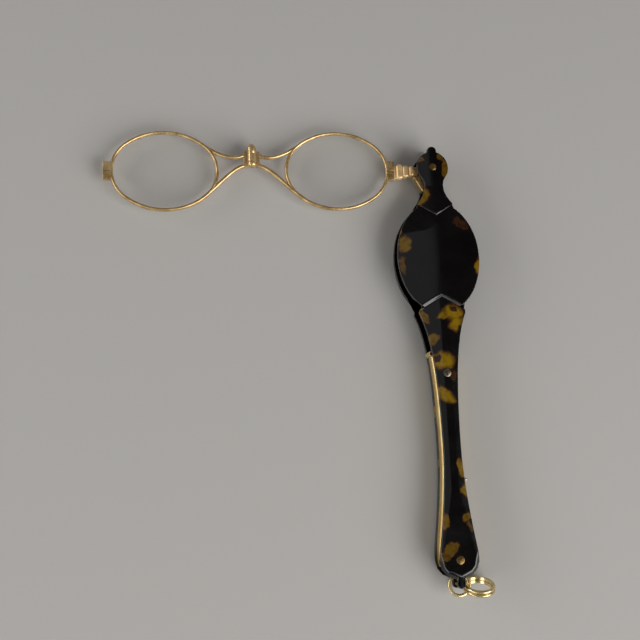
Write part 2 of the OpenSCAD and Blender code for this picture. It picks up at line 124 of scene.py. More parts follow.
@dataclass(frozen=True)
class Front:
    """Sizes that the front's pieces share."""

    pivot_y: float = 32.4
    lens_reach: float = 33.4
    half_pd: float = 30.0
    rim_a: float = 18.5
    rim_b: float = 14.3
    wire_w: float = 1.05
    wire_d: float = 1.8
    rim_low: float = 2.55
    mid_z: float = 4.5
    slit: float = 0.16
    barrel_r: float = 1.5
    barrel_low: float = 1.25
    barrel_len: float = 8.1
    hub_r: float = 4.6

    @property
    def bridge_x(self) -> float:
        """X of the bridge's hinge axis."""
        return -(self.lens_reach + self.half_pd)

    @property
    def rim_arcs(self) -> tuple[tuple[Plan, float, float, float], ...]:
        """The four arcs of the rim's oval, the first one in two parts, from its outer end round.

        Returns:
            Centre, outer radius, and first and last angle in degrees, for each.
        """
        lean = self.rim_a - self.rim_b
        end_x, side_y = 1.5 * lean, 2 * lean
        end_r, side_r = self.rim_a - end_x, self.rim_b + side_y
        meet = math.degrees(math.atan2(4, 3))
        return (
            ((end_x, 0.0), end_r, 0.0, meet),
            ((0.0, -side_y), side_r, meet, 180 - meet),
            ((-end_x, 0.0), end_r, 180 - meet, 180 + meet),
            ((0.0, side_y), side_r, 180 + meet, 360 - meet),
            ((end_x, 0.0), end_r, 360 - meet, 360.0),
        )


HANDLE = Handle()
FRONT = Front()


# Colours and nodes


def linear(hex_colour: str) -> Colour:
    """Turns an sRGB hex value to a linear colour.

    Args:
        hex_colour: six hex digits after a number sign.

    Returns:
        Red, green, blue and an alpha of 1, as Blender's sockets take them.
    """
    channels = [int(hex_colour[i : i + 2], 16) / 255 for i in (1, 3, 5)]
    red, green, blue = (c / 12.92 if c <= 0.04045 else ((c + 0.055) / 1.055) ** 2.4 for c in channels)
    return (red, green, blue, 1.0)


def add_node(
    tree: NodeTree, kind: str, inputs: dict[str | int, object] | None = None, **settings: object
) -> Node:
    """Adds a node with its settings, socket values and links.

    Args:
        tree: the node tree to add to.
        kind: the node's type name, without ShaderNode.
        inputs: for each named or numbered input a value, a socket or a node whose first output it takes.
        settings: attributes of the node itself.

    Returns:
        The new node.
    """
    node = tree.nodes.new(f"ShaderNode{kind}")
    for name, value in settings.items():
        setattr(node, name, value)
    for name, value in (inputs or {}).items():
        source = value.outputs[0] if isinstance(value, Node) else value
        if isinstance(source, NodeSocket):
            tree.links.new(source, node.inputs[name])
        else:
            node.inputs[name].default_value = source
    return node


def texture_scale(grain_mm: float) -> float:
    """Turns the real size of a pattern's grain to a texture's scale."""
    return 1 / (grain_mm * MM)


# Finishes


@dataclass(frozen=True)
class Finish:
    """What all finishes share: a named material whose patterns read Object coordinates."""

    name: str

    def surface(self, tree: NodeTree, coords: NodeSocket) -> dict[str, object]:
        """Adds the finish's patterns.

        Args:
            tree: the material's node tree.
            coords: the place on the piece, in metres.

        Returns:
            The inputs of the material's shader.
        """
        raise NotImplementedError

    def material(self) -> Material:
        """Builds the node material.

        Returns:
            The material.
        """
        material = bpy.data.materials.new(self.name)
        material.use_nodes = True
        tree = material.node_tree
        tree.nodes.clear()
        coords = add_node(tree, "TexCoord").outputs["Object"]
        shader = add_node(tree, "BsdfPrincipled", self.surface(tree, coords))
        add_node(tree, "OutputMaterial", {"Surface": shader})
        return material


@dataclass(frozen=True)
class Mottle:
    """One amber patch in the shell: its centre, half axes, turn in degrees and strength."""

    x: float
    y: float
    long: float
    wide: float
    turn: float = 0.0
    warmth: float = 1.0


@dataclass(frozen=True)
class PolishedShell(Finish):
    """Natural tortoiseshell, carved and polished: near black with amber patches under the gloss."""

    mottles: tuple[Mottle, ...]
    spots: tuple[Mottle, ...] = ()
    dark: str = "#050303"
    smoke: str = "#090605"
    fringe: str = "#30130A"
    umber: str = "#584009"
    amber: str = "#745806"
    honey: str = "#8A6C08"
    ragged_mm: float = 2.6
    waver_mm: float = 2.8
    stain_mm: float = 1.7
    cloud_mm: float = 9.0
    haze_mm: float = 14.0
    edge_level: float = 1.7
    edge_fall: float = 1.6
    blend: float = 0.1
    stained: float = 0.55
    gloss: Plan = (0.13, 0.26)

    def patch(self, tree: NodeTree, place: Node, mottle: Mottle) -> Node:
        """Adds one patch as a value that is level inside and falls through 0 at its edge.

        Args:
            tree: the material's node tree.
            place: gives the wavering position on the plate, in metres.
            mottle: the patch.

        Returns:
            The node that gives the value.
        """
        centre = (mottle.x * MM, mottle.y * MM, 0.0)
        half_axes = (mottle.long * MM, mottle.wide * MM, 1.0)
        moved = add_node(tree, "VectorMath", {0: place, 1: centre}, operation="SUBTRACT")
        turn = {"Vector": moved, "Angle": -math.radians(mottle.turn)}
        turned = add_node(tree, "VectorRotate", turn, rotation_type="Z_AXIS")
        squeezed = add_node(tree, "VectorMath", {0: turned, 1: half_axes}, operation="DIVIDE")
        length = add_node(tree, "VectorMath", {0: squeezed}, operation="LENGTH").outputs["Value"]
        levels = {0: length, 1: -self.edge_fall, 2: self.edge_level}
        fall = add_node(tree, "Math", levels, operation="MULTIPLY_ADD")
        return add_node(tree, "Math", {0: fall, 1: mottle.warmth}, operation="MINIMUM")

    def gathered(self, tree: NodeTree, place: Node, mottles: Sequence[Mottle]) -> Node:
        """Joins several patches softly into one value.

        Args:
            tree: the material's node tree.
            place: gives the wavering position on the plate, in metres.
            mottles: the patches.

        Returns:
            The node that gives the value.
        """
        joined = self.patch(tree, place, mottles[0])
        for mottle in mottles[1:]:
            pair = {0: joined, 1: self.patch(tree, place, mottle), 2: self.blend}
            joined = add_node(tree, "Math", pair, operation="SMOOTH_MAX")
        return joined

    def amber_value(self, tree: NodeTree, coords: NodeSocket) -> Node:
        """Adds the patches with their ragged edges and the brown stains inside them.

        Args:
            tree: the material's node tree.
            coords: the place on the plate, in metres.

        Returns:
            The node that gives 0 in the dark ground and up to 1 in the clearest amber.
        """
        ragged = {"Vector": coords, "Scale": texture_scale(self.ragged_mm), "Detail": 1.0, "Roughness": 0.4}
        waver = add_node(tree, "TexNoise", ragged)
        middle = {0: waver.outputs["Color"], 1: (0.5, 0.5, 0.5)}
        centred = add_node(tree, "VectorMath", middle, operation="SUBTRACT")
        spread = {0: centred, 1: (self.waver_mm * MM, self.waver_mm * MM, 0.0), 2: coords}
        shift = add_node(tree, "VectorMath", spread, operation="MULTIPLY_ADD")
        flat = add_node(tree, "VectorMath", {0: shift, 1: (1.0, 1.0, 0.0)}, operation="MULTIPLY")
        patches = self.gathered(tree, flat, self.mottles)
        blots = {"Vector": coords, "Scale": texture_scale(self.stain_mm), "Detail": 3.0}
        stain = add_node(tree, "TexNoise", blots)
        levels = {"Value": stain, "From Min": 0.45, "From Max": 0.8, "To Min": 1.0, "To Max": self.stained}
        kept = add_node(tree, "MapRange", levels)
        if self.spots:
            spots = self.gathered(tree, flat, self.spots)
            clear = add_node(tree, "Math", {0: 1.0, 1: spots}, operation="SUBTRACT")
            kept = add_node(tree, "Math", {0: kept, 1: clear}, operation="MINIMUM")
        return add_node(tree, "Math", {0: patches, 1: kept}, operation="MULTIPLY")

    def surface(self, tree: NodeTree, coords: NodeSocket) -> dict[str, object]:
        """Adds the amber, the smoke in the dark ground and the haze of hand polish.

        Args:
            tree: the material's node tree.
            coords: the place on the plate, in metres.

        Returns:
            The inputs of the material's shader.
        """
        tint = add_node(tree, "ValToRGB", {"Fac": self.amber_value(tree, coords)})
        tint.color_ramp.interpolation = "B_SPLINE"
        stops = tint.color_ramp.elements
        stops[0].position, stops[0].color = 0.0, linear(self.dark)
        stops[1].position, stops[1].color = 1.0, linear(self.honey)
        # The second dark stop keeps the rounded ramp from reddening the ground
        between = ((0.08, self.dark), (0.3, self.fringe), (0.52, self.umber), (0.74, self.amber))
        for position, colour in between:
            stops.new(position).color = linear(colour)
        clouds = {"Vector": coords, "Scale": texture_scale(self.cloud_mm), "Detail": 2.0}
        cloud = add_node(tree, "TexNoise", clouds)
        # The Mix node's colour sockets are 6 and 7 going in and 2 coming out
        layers = {0: cloud, 6: tint, 7: linear(self.smoke)}
        smoke = add_node(tree, "Mix", layers, data_type="RGBA", blend_type="LIGHTEN")
        smears = {"Vector": coords, "Scale": texture_scale(self.haze_mm), "Detail": 5.0, "Roughness": 0.7}
        haze = add_node(tree, "TexNoise", smears)
        low, high = self.gloss
        levels = {"Value": haze, "From Min": 0.35, "From Max": 0.75, "To Min": low, "To Max": high}
        rough = add_node(tree, "MapRange", levels)
        ripple = add_node(tree, "Bump", {"Height": haze, "Strength": 0.12, "Distance": 0.6 * MM})
        # Horn has an IOR near 1.55, and polishing leaves a thin brighter skin
        return {
            "Base Color": smoke.outputs[2],
            "Roughness": rough,
            "IOR": 1.55,
            "Normal": ripple,
            "Coat Weight": 0.25,
            "Coat Roughness": 0.06,
        }


@dataclass(frozen=True)
class RubbedMetal(Finish):
    """A polished and handled metal: its lit and its tarnished colour, and the size of the wear.

    A fine net of scratches scatters a small share of the light, which metallic below 1 stands for.
    """

    bright: str
    tarnish: str
    gloss: Plan
    wear_mm: float
    scratch_mm: float = 0.35
    scatter: float = 0.18
    stretch: Place = (1.0, 1.0, 1.0)
    tarnished_under: float = 0.32
    bright_over: float = 0.62

    def surface(self, tree: NodeTree, coords: NodeSocket) -> dict[str, object]:
        """Adds the worn tint and the scratches.

        Args:
            tree: the material's node tree.
            coords: the place on the piece, in metres.

        Returns:
            The inputs of the material's shader.
        """
        patches = {"Vector": coords, "Scale": texture_scale(self.wear_mm), "Detail": 4.0, "Roughness": 0.6}
        wear = add_node(tree, "TexNoise", patches)
        tint = add_node(tree, "ValToRGB", {"Fac": wear})
        stops = tint.color_ramp.elements
        stops[0].position, stops[0].color = self.tarnished_under, linear(self.tarnish)
        stops[1].position, stops[1].color = self.bright_over, linear(self.bright)
        drawn = add_node(tree, "Mapping", {"Vector": coords, "Scale": self.stretch})
        lines = {"Vector": drawn, "Scale": texture_scale(self.scratch_mm), "Detail": 3.0}
        scratch = add_node(tree, "TexNoise", lines)
        low, high = self.gloss
        levels = {"Value": scratch, "From Min": 0.3, "From Max": 0.7, "To Min": low, "To Max": high}
        rough = add_node(tree, "MapRange", levels)
        grain = add_node(tree, "Bump", {"Height": scratch, "Strength": 0.1, "Distance": 0.05 * MM})
        return {"Base Color": tint, "Metallic": 1.0 - self.scatter, "Roughness": rough, "Normal": grain}


@dataclass(frozen=True)
class SpectacleGlass(Finish):
    """Crown glass, ground and polished: clear, with a faint reflection and smears of handling."""

    name: str = "crown_glass_polished"
    body: str = "#F4F3F0"
    smear_mm: float = 7.0
    gloss: Plan = (0.02, 0.14)
    opacity: float = 0.16

    def surface(self, tree: NodeTree, coords: NodeSocket) -> dict[str, object]:
        """Adds the smears.

        Args:
            tree: the material's node tree.
            coords: the place on the lens, in metres.

        Returns:
            The inputs of the material's shader.
        """
        wiped = {"Vector": coords, "Scale": texture_scale(self.smear_mm), "Detail": 3.0}
        smear = add_node(tree, "TexNoise", wiped)
        low, high = self.gloss
        levels = {"Value": smear, "From Min": 0.45, "From Max": 0.8, "To Min": low, "To Max": high}
        rough = add_node(tree, "MapRange", levels)
        # Crown glass has an IOR of 1.52. The low alpha lets the floor's light through the thin lens
        return {
            "Base Color": linear(self.body),
            "Roughness": rough,
            "IOR": 1.52,
            "Transmission Weight": 0.9,
            "Alpha": self.opacity,
        }


@dataclass(frozen=True)
class MattePaper(Finish):
    """The plain pale surface that the lorgnette lies on."""

    name: str = "matte_paper_floor"
    colour: str = "#BDBAB5"
    tooth_mm: float = 1.6

    def surface(self, tree: NodeTree, coords: NodeSocket) -> dict[str, object]:
        """Adds the paper's tooth.

        Args:
            tree: the material's node tree.
            coords: the place on the floor, in metres.

        Returns:
            The inputs of the material's shader.
        """
        pulp = {"Vector": coords, "Scale": texture_scale(self.tooth_mm), "Detail": 2.0}
        tooth = add_node(tree, "TexNoise", pulp)
        bump = add_node(tree, "Bump", {"Height": tooth, "Strength": 0.15, "Distance": 0.2 * MM})
        return {"Base Color": linear(self.colour), "Roughness": 0.75, "Normal": bump}


# Amber patches of the upper plate, as places on the plate
UPPER_MOTTLES: tuple[Mottle, ...] = (
    Mottle(4.7, 31.6, 3.9, 1.7, 86, 0.55),
    Mottle(3.0, 35.6, 2.4, 1.1, -42, 0.5),
    Mottle(-4.4, 35.0, 1.5, 1.1, 45, 0.5),
    Mottle(-4.2, 21.6, 4.3, 2.2, 62, 0.68),
    Mottle(-12.0, 4.6, 3.6, 2.7, 80, 0.62),
    Mottle(-13.1, -2.9, 3.4, 1.6, 100, 0.5),
    Mottle(-13.8, 8.8, 2.2, 1.0, 75, 0.6),
    Mottle(8.4, 12.0, 3.2, 2.0, -35, 0.3),
    Mottle(14.1, -3.2, 3.6, 1.7, 85, 1.0),
    Mottle(3.8, -19.8, 4.5, 3.4, -12, 1.0),
    Mottle(4.4, -23.6, 3.3, 2.7, 62, 1.0),
    Mottle(0.4, -20.4, 3.4, 1.4, 8, 0.75),
    Mottle(-7.0, -20.4, 4.2, 1.9, -58, 0.58),
    Mottle(-4.0, -28.8, 2.9, 2.2, 60, 0.62),
    Mottle(-1.2, -36.4, 5.2, 3.6, -8, 1.0),
    Mottle(2.2, -41.6, 2.3, 1.4, -70, 0.33),
    Mottle(-1.2, -48.2, 4.9, 2.4, -40, 0.9),
    Mottle(2.7, -72.8, 4.0, 1.5, 92, 0.8),
    Mottle(3.2, -80.6, 2.9, 1.5, 84, 0.8),
    Mottle(3.4, -89.0, 2.4, 1.5, 35, 0.6),
    Mottle(4.2, -92.0, 2.2, 1.0, 95, 0.45),
    Mottle(-4.6, -90.2, 3.3, 1.6, 82, 0.62),
    Mottle(-2.8, -99.4, 3.4, 2.1, 30, 0.55),
    Mottle(-5.5, -101.6, 2.4, 1.5, -20, 0.5),
)
# Brown spots inside those patches
UPPER_SPOTS: tuple[Mottle, ...] = (
    Mottle(3.6, -18.4, 1.5, 1.1, 20, 0.7),
    Mottle(-3.3, -35.6, 1.7, 1.3, 10, 0.75),
    Mottle(-4.0, -45.6, 1.4, 1.1, 0, 0.6),
    Mottle(2.6, -76.9, 1.6, 1.6, 90, 0.6),
)
# Amber patches of the lower plate: the first three show at its left edge, and the rest are on its back
LOWER_MOTTLES: tuple[Mottle, ...] = (
    Mottle(-12.8, 11.7, 2.6, 1.6, 70, 0.8),
    Mottle(-3.6, -53.0, 2.6, 1.2, 85, 0.7),
    Mottle(-3.8, -70.7, 1.6, 1.0, 85, 0.5),
    Mottle(8.0, 10.0, 4.0, 2.4, 30, 0.9),
    Mottle(-3.0, -8.0, 3.6, 2.2, -20, 0.6),
    Mottle(5.4, -21.0, 3.6, 2.6, 50, 1.0),
    Mottle(-1.0, -38.0, 3.8, 2.0, 10, 0.9),
    Mottle(1.0, -66.0, 4.4, 1.2, 85, 0.7),
    Mottle(-2.0, -98.0, 3.2, 2.0, 20, 0.8),
    Mottle(1.0, 30.0, 2.6, 1.6, 40, 0.7),
)

UPPER_SHELL = PolishedShell("tortoiseshell_polished_upper", UPPER_MOTTLES, UPPER_SPOTS)
LOWER_SHELL = PolishedShell("tortoiseshell_polished_lower", LOWER_MOTTLES)
# Rolled gold on the front: warm, soft gloss, rubbed paler on the high spots
ROLLED_GOLD = RubbedMetal("rolled_gold_rubbed", "#EACA92", "#AE8A54", (0.22, 0.38), 4.0, scatter=0.22)
# A paler copy of the same gold on the ribs: painted light, which makes them look more brightly lit than the
# rest of the front
RIB_GOLD_PAINTED_LIGHT = RubbedMetal("rolled_gold_painted_light", "#FADAA4", "#D8AE72", (0.3, 0.46), 3.0, scatter=0.45)
# A darker copy of the same gold round the hub: painted shade where it sits between the plates
HUB_GOLD_PAINTED_SHADE = RubbedMetal("rolled_gold_painted_shade", "#D8B67A", "#6E5228", (0.26, 0.42), 1.8)
# Brass strip drawn through rollers: paler and yellower, with fine lines along its length
ROLLED_BRASS = RubbedMetal(
    "brass_strip_rolled", "#F2D898", "#DAB46C", (0.26, 0.4), 8.0, 0.5, 0.25, (1.0, 0.08, 1.0)
)
# Lemon-coloured gilding on the rings, worn bright where they rub
GILT_RINGS = RubbedMetal("gilt_wire_worn", "#F0DCA6", "#C8AE72", (0.16, 0.28), 3.0)
# Nickel silver button and bridge pin, turned and polished
NICKEL = RubbedMetal("nickel_silver_turned", "#DDD4C2", "#A89C86", (0.14, 0.28), 1.6, scatter=0.35)
# Old screw and rivet heads: dirt in the slots and dull, uneven rubbing
OLD_SCREW = RubbedMetal("nickel_screw_dulled", "#8E8474", "#43382A", (0.26, 0.42), 0.8)
OLD_RIVET = RubbedMetal("brass_rivet_dulled", "#96763F", "#33260F", (0.28, 0.44), 0.7)


# Mesh tools


def show(name: str, data: ID) -> Object:
    """Puts a new object in the scene.

    Args:
        name: the object's name.
        data: its mesh, lamp or camera.

    Returns:
        The object.
    """
    made = bpy.data.objects.new(name, data)
    bpy.context.scene.collection.objects.link(made)
    return made


def bezier(a: Plan, b: Plan, c: Plan, d: Plan, steps: int) -> list[Vector]:
    """Points along a cubic curve, both ends included.

    Args:
        a: the start.
        b: the first handle.
        c: the second handle.
        d: the end.
        steps: number of spans.

    Returns:
        The points, flat at Z = 0.
    """
    return [Vector(p) for p in interpolate_bezier(*(Vector((*p, 0.0)) for p in (a, b, c, d)), steps + 1)]


def arc(centre: Plan, radius: float, start: float, end: float, steps: int) -> list[Vector]:
    """Points along an arc from one angle to another, in degrees, both ends included."""
    angles = [math.radians(start + (end - start) * i / steps) for i in range(steps + 1)]
    return [Vector((centre[0] + radius * math.cos(t), centre[1] + radius * math.sin(t), 0)) for t in angles]


@dataclass
class Solid:
    """A piece under construction, in millimetres, on one bmesh."""

    bm: BMesh = field(default_factory=bmesh.new)

    def face(self, points: Iterable[Sequence[float]]) -> BMFace:
        """Adds one flat face through the given points."""
        return self.bm.faces.new([self.bm.verts.new(Vector(p).to_3d()) for p in points])

    def pull(self, start: BMFace, height: float) -> None:
        """Extrudes a face straight up into a closed block.

        Args:
            start: the face at the foot.
            height: how far the block reaches above it.
        """
        grown = bmesh.ops.extrude_face_region(self.bm, geom=[start], use_keep_orig=True)["geom"]
        top = [v for v in grown if isinstance(v, BMVert)]
        bmesh.ops.translate(self.bm, verts=top, vec=(0, 0, height))
        bmesh.ops.recalc_face_normals(self.bm, faces=self.bm.faces[:])

    def cut(self, point: Sequence[float], outward: Sequence[float]) -> None:
        """Saws off all that lies past a plane and closes the cut.

        Args:
            point: a point on the plane.
            outward: the plane's normal, towards what is removed.
        """
        geom = self.bm.verts[:] + self.bm.edges[:] + self.bm.faces[:]
        bmesh.ops.bisect_plane(
            self.bm, geom=geom, dist=1e-5, plane_co=point, plane_no=outward, clear_outer=True
        )
        self.close()

    def close(self) -> None:
        """Closes every open end with a flat face."""
        rim = [e for e in self.bm.edges if e.is_boundary]
        if rim:
            bmesh.ops.holes_fill(self.bm, edges=rim, sides=0)

    def soften(
        self,
        width: float,
        segments: int = 3,
        chosen: Callable[[BMEdge], bool] | None = None,
        limited: bool = True,
    ) -> None:
        """Rounds edges.

        Args:
            width: how far the rounding reaches from each edge.
            segments: rows of faces in the rounding.
            chosen: tells which edges are rounded, or all that turn by over 20 degrees.
            limited: whether the width gives way to short edges.
        """
        pick = chosen or (lambda e: len(e.link_faces) == 2 and e.calc_face_angle(0.0) > math.radians(20))
        bmesh.ops.bevel(
            self.bm,
            geom=[e for e in self.bm.edges if pick(e)],
            offset=width,
            offset_type="OFFSET",
            segments=segments,
            profile=0.5,
            affect="EDGES",
            material=-1,
            clamp_overlap=limited,
        )

    def place(self, turn: Matrix, offset: Sequence[float]) -> None:
        """Turns or mirrors the piece about the origin and moves it."""
        matrix = Matrix.Translation(offset) @ turn.to_4x4()
        bmesh.ops.transform(self.bm, matrix=matrix, verts=self.bm.verts[:])

    def take(self, part: "Solid") -> None:
        """Adds a finished part and frees it.

        Args:
            part: the part, in the same place as it has on this piece.
        """
        bmesh.ops.recalc_face_normals(part.bm, faces=part.bm.faces[:])
        mesh = bpy.data.meshes.new("part")
        part.bm.to_mesh(mesh)
        part.bm.free()
        self.bm.from_mesh(mesh)
        bpy.data.meshes.remove(mesh)

    def bar(self, low: Sequence[float], high: Sequence[float], soft: float, segments: int = 3) -> None:
        """Adds a bar with rounded edges.

        Args:
            low: its lowest corner.
            high: its highest corner.
            soft: how far the rounding reaches from each edge.
            segments: rows of faces in the rounding.
        """
        part = Solid()
        size = Vector(high) - Vector(low)
        middle = Matrix.Translation(Vector(low) + size / 2)
        bmesh.ops.create_cube(part.bm, size=1.0, matrix=middle @ Matrix.Diagonal((*size, 1.0)))
        part.soften(soft, segments)
        self.take(part)

    def lathe(
        self, outline: Sequence[Plan], at: Sequence[float], turn: Matrix = UPRIGHT, steps: int = 48
    ) -> None:
        """Adds a turned part.

        Args:
            outline: its (radius, height) points, from axis to axis, or all round the section of a tube.
            at: the place of its foot.
            turn: turns its axis away from Z.
            steps: facets round the axis.
        """
        part = Solid()
        line = [part.bm.verts.new((r, 0, h)) for r, h in outline]
        geom = line + [part.bm.edges.new(pair) for pair in zip(line, line[1:])]
        bmesh.ops.spin(
            part.bm, geom=geom, cent=(0, 0, 0), axis=(0, 0, 1), angle=math.tau, steps=steps, use_merge=True
        )
        bmesh.ops.remove_doubles(part.bm, verts=part.bm.verts[:], dist=1e-4)
        part.place(turn, at)
        self.take(part)

    def draw(self, path: Sequence[Vector], headings: Sequence[float]) -> None:
        """Draws this piece's one face along a path into a closed bar.

        Args:
            path: the points that the face follows, from where it is.
            headings: its turn about Z at each point.
        """
        edges = self.bm.edges[:]
        for i in range(1, len(path)):
            grown = bmesh.ops.extrude_edge_only(self.bm, edges=edges)["geom"]
            verts = [g for g in grown if isinstance(g, BMVert)]
            edges = [g for g in grown if isinstance(g, BMEdge)]
            turn = Matrix.Rotation(headings[i] - headings[i - 1], 3, "Z")
            bmesh.ops.rotate(self.bm, cent=path[i - 1], matrix=turn, verts=verts)
            bmesh.ops.translate(self.bm, vec=path[i] - path[i - 1], verts=verts)
        self.close()

    def spin(
        self, geom: list, angle: float, steps: int, centre: Sequence[float] = (0, 0, 0), rise: float = 0.0
    ) -> list:
        """Spins a section about an upright axis.

        Args:
            geom: the section's vertices and edges.
            angle: how far, in radians.
            steps: number of spans.
            centre: a point on the axis.
            rise: how far the section climbs on the way.

        Returns:
            The section where the spin ends.
        """
        climb = (0, 0, rise / steps)
        spun = bmesh.ops.spin(
            self.bm, geom=geom, cent=centre, axis=(0, 0, 1), dvec=climb, angle=angle, steps=steps
        )
        return spun["geom_last"]

    def wire(self, path: list[Vector], half_w: float, half_d: float, z: float, sides: int = 14) -> None:
        """Adds a rounded wire along a flat path.

        Args:
            path: points in the plane, from end to end.
            half_w: half of the wire's width in the plane.
            half_d: half of its depth.
            z: height of its middle.
            sides: faces round the wire.
        """
        part = Solid()
        path = [point + Vector((0, 0, z)) for point in path]
        ways = [after - before for before, after in zip(path[:1] + path, path[1:] + path[-1:])]
        headings = [math.atan2(way.y, way.x) for way in ways]
        stand = Matrix.Rotation(headings[0], 4, "Z") @ Matrix.Rotation(math.pi / 2, 4, "Y")
        place = Matrix.Translation(path[0]) @ stand @ Matrix.Diagonal((half_d, half_w, 1.0, 1.0))
        bmesh.ops.create_circle(part.bm, cap_ends=True, segments=sides, radius=1.0, matrix=place)
        part.draw(path, headings)
        self.take(part)

    def finish(
        self, name: str, body: Body, material: Material, node: str, weighted: bool = True
    ) -> None:
        """Turns the bmesh into a smooth-shaded piece that rides on a body.

        Args:
            name: the piece's name.
            body: the body that it rides on.
            material: its material.
            node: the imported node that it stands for.
            weighted: whether large flat faces keep their own shading.
        """
        bmesh.ops.remove_doubles(self.bm, verts=self.bm.verts[:], dist=1e-5)
        bmesh.ops.recalc_face_normals(self.bm, faces=self.bm.faces[:])
        bmesh.ops.scale(self.bm, vec=(MM, MM, MM), verts=self.bm.verts[:])
        for face in self.bm.faces:
            face.smooth = True
        # Edges of the plates' inner walls have more than two faces, and no shading may cross them
        for edge in self.bm.edges:
            edge.smooth = len(edge.link_faces) == 2 and edge.calc_face_angle(0.0) < math.radians(50)
        mesh = bpy.data.meshes.new(name)
        self.bm.to_mesh(mesh)
        self.bm.free()
        mesh.materials.append(material)
        piece = show(name, mesh)
        if weighted:
            shading = piece.modifiers.new("even_shading", "WEIGHTED_NORMAL")
            shading.mode = "FACE_AREA"
            shading.weight = 50
            shading.keep_sharp = True
        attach(piece, body.value)
        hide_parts(node)
        log.info("%s: %d faces, rides on %s", name, len(mesh.polygons), body.value)


# Handle


@dataclass
class PlateOutline:
    """Right half of the plates' outline, from the finial to the tail tab."""

    sizes: Handle = HANDLE
    fine: int = 14

    def at(self, x: float, station: float) -> Plan:
        """Turns a half-width and a station to a place in the plan."""
        return (x, self.sizes.pivot_y - station)

    def curve(self, a: Plan, b: Plan, c: Plan, d: Plan) -> list[Vector]:
        """A cubic curve through (half-width, station) points."""
        return bezier(self.at(*a), self.at(*b), self.at(*c), self.at(*d), self.fine)

    def case_hw(self, s: float) -> float:
        """Half-width of the oval case at a station."""
        h = self.sizes
        return h.case_hw * math.sqrt(1 - ((s - h.case_s) / h.case_hl) ** 2)

    def side(self, s: float) -> float:
        """Half-width below the case at a station, between the two outline points beside it.

        Args:
            s: the station, past the shoulder.

        Returns:
            The half-width.
        """
        below = [(self.sizes.pivot_y - p.y, p.x) for p in self.points()]
        for (s_0, x_0), (s_1, x_1) in zip(below, below[1:]):
            if self.sizes.shoulder_s <= s_0 <= s <= s_1:
                return x_0 + (x_1 - x_0) * (s - s_0) / max(s_1 - s_0, 1e-6)
        raise ValueError(f"no outline at station {s}")

    def case_edge(self) -> list[Vector]:
        """The oval side of the case, between its two notches.

        Returns:
            The points, from the head down.
        """
        h = self.sizes
        steps = 3 * self.fine
        swings = [math.cos(math.pi * i / steps) for i in range(steps + 1)]
        stations = [h.case_s - (h.case_hl - h.notch) * swing for swing in swings]
        return [Vector((*self.at(self.case_hw(s), s), 0)) for s in stations]

    def pear_end(self) -> list[Vector]:
        """The round end of the pear, down to the tab.

        Returns:
            The points, from the widest place down.
        """
        h = self.sizes
        points = []
        for i in range(1, 2 * self.fine):
            u = math.sin(math.pi / 2 * i / (2 * self.fine))
            x = h.pear_hw * (1 - u**h.pear_power) ** (1 / h.pear_power)
            if x > h.tab_hw - h.tab_lap:
                points.append(Vector((*self.at(x, h.pear_s + h.pear_len * u), 0)))
        return points

    def points(self) -> list[Vector]:
        """All points of the half outline.

        Returns:
            The points, from the top of the finial to the end of the tab.
        """
        h = self.sizes
        case_end = h.case_s + h.case_hl - h.notch
        neck, flare = (h.neck_hw, h.neck_s), (h.flare_hw, h.flare_s)
        shoulder, waist = (h.shoulder_hw, h.shoulder_s), (h.waist_hw, h.waist_s)
        pear = (h.pear_hw, h.pear_s)
        runs = [
            arc(self.at(0, h.knob_s), h.knob_r, 90, -12, self.fine),
            arc(self.at(0, 0), h.head_r, 69, -39.2, 2 * self.fine),
            self.curve((4.42, 3.6), (3.6, 4.9), (neck[0], neck[1] - 1.3), neck),
            self.curve(neck, (neck[0], neck[1] + 2.4), (flare[0] - 1.6, flare[1] - 1.9), flare),
            self.case_edge(),
            self.curve(
                (self.case_hw(case_end), case_end),
                (shoulder[0] - 0.2, case_end + 0.3),
                (shoulder[0] + 0.05, shoulder[1] - 1),
                shoulder,
            ),
            self.curve(
                shoulder, (shoulder[0] - 2.7, shoulder[1] + 6.3), (waist[0], shoulder[1] + 15.8), waist
            ),
            self.curve(waist, (waist[0] + 0.05, waist[1] + 16), (pear[0] - 0.5, pear[1] - 4.6), pear),
            self.pear_end(),
            arc(self.at(0, h.tab_s), h.tab_hw, 42, -90, self.fine),
        ]
        points: list[Vector] = []
        for point in (p for run in runs for p in run):
            if not points or (point - points[-1]).length > 0.05:
                points.append(point)
        return points


@dataclass(frozen=True)
class Bound:
    """An upright plane where a stretch of the plate ends: a point in the plan and the way out."""

    at: Plan
    out: Plan

    def back(self) -> "Bound":
        """The same plane for the stretch on its other side."""
        return Bound(self.at, (-self.out[0], -self.out[1]))


@dataclass(frozen=True)
class Facet:
    """A facet on half a plate: its height at the axis at a station, and its slope.

    Fall is per mm outwards, and rise is per mm towards the tail.
    """

    height: float
    station: float = 0.0
    fall: float = 0.0
    rise: float = 0.0


@dataclass(frozen=True)
class Zone:
    """A stretch of half a plate: the planes that bound it and the facets on top of it."""

    bounds: tuple[Bound, ...]
    facets: tuple[Facet, ...]


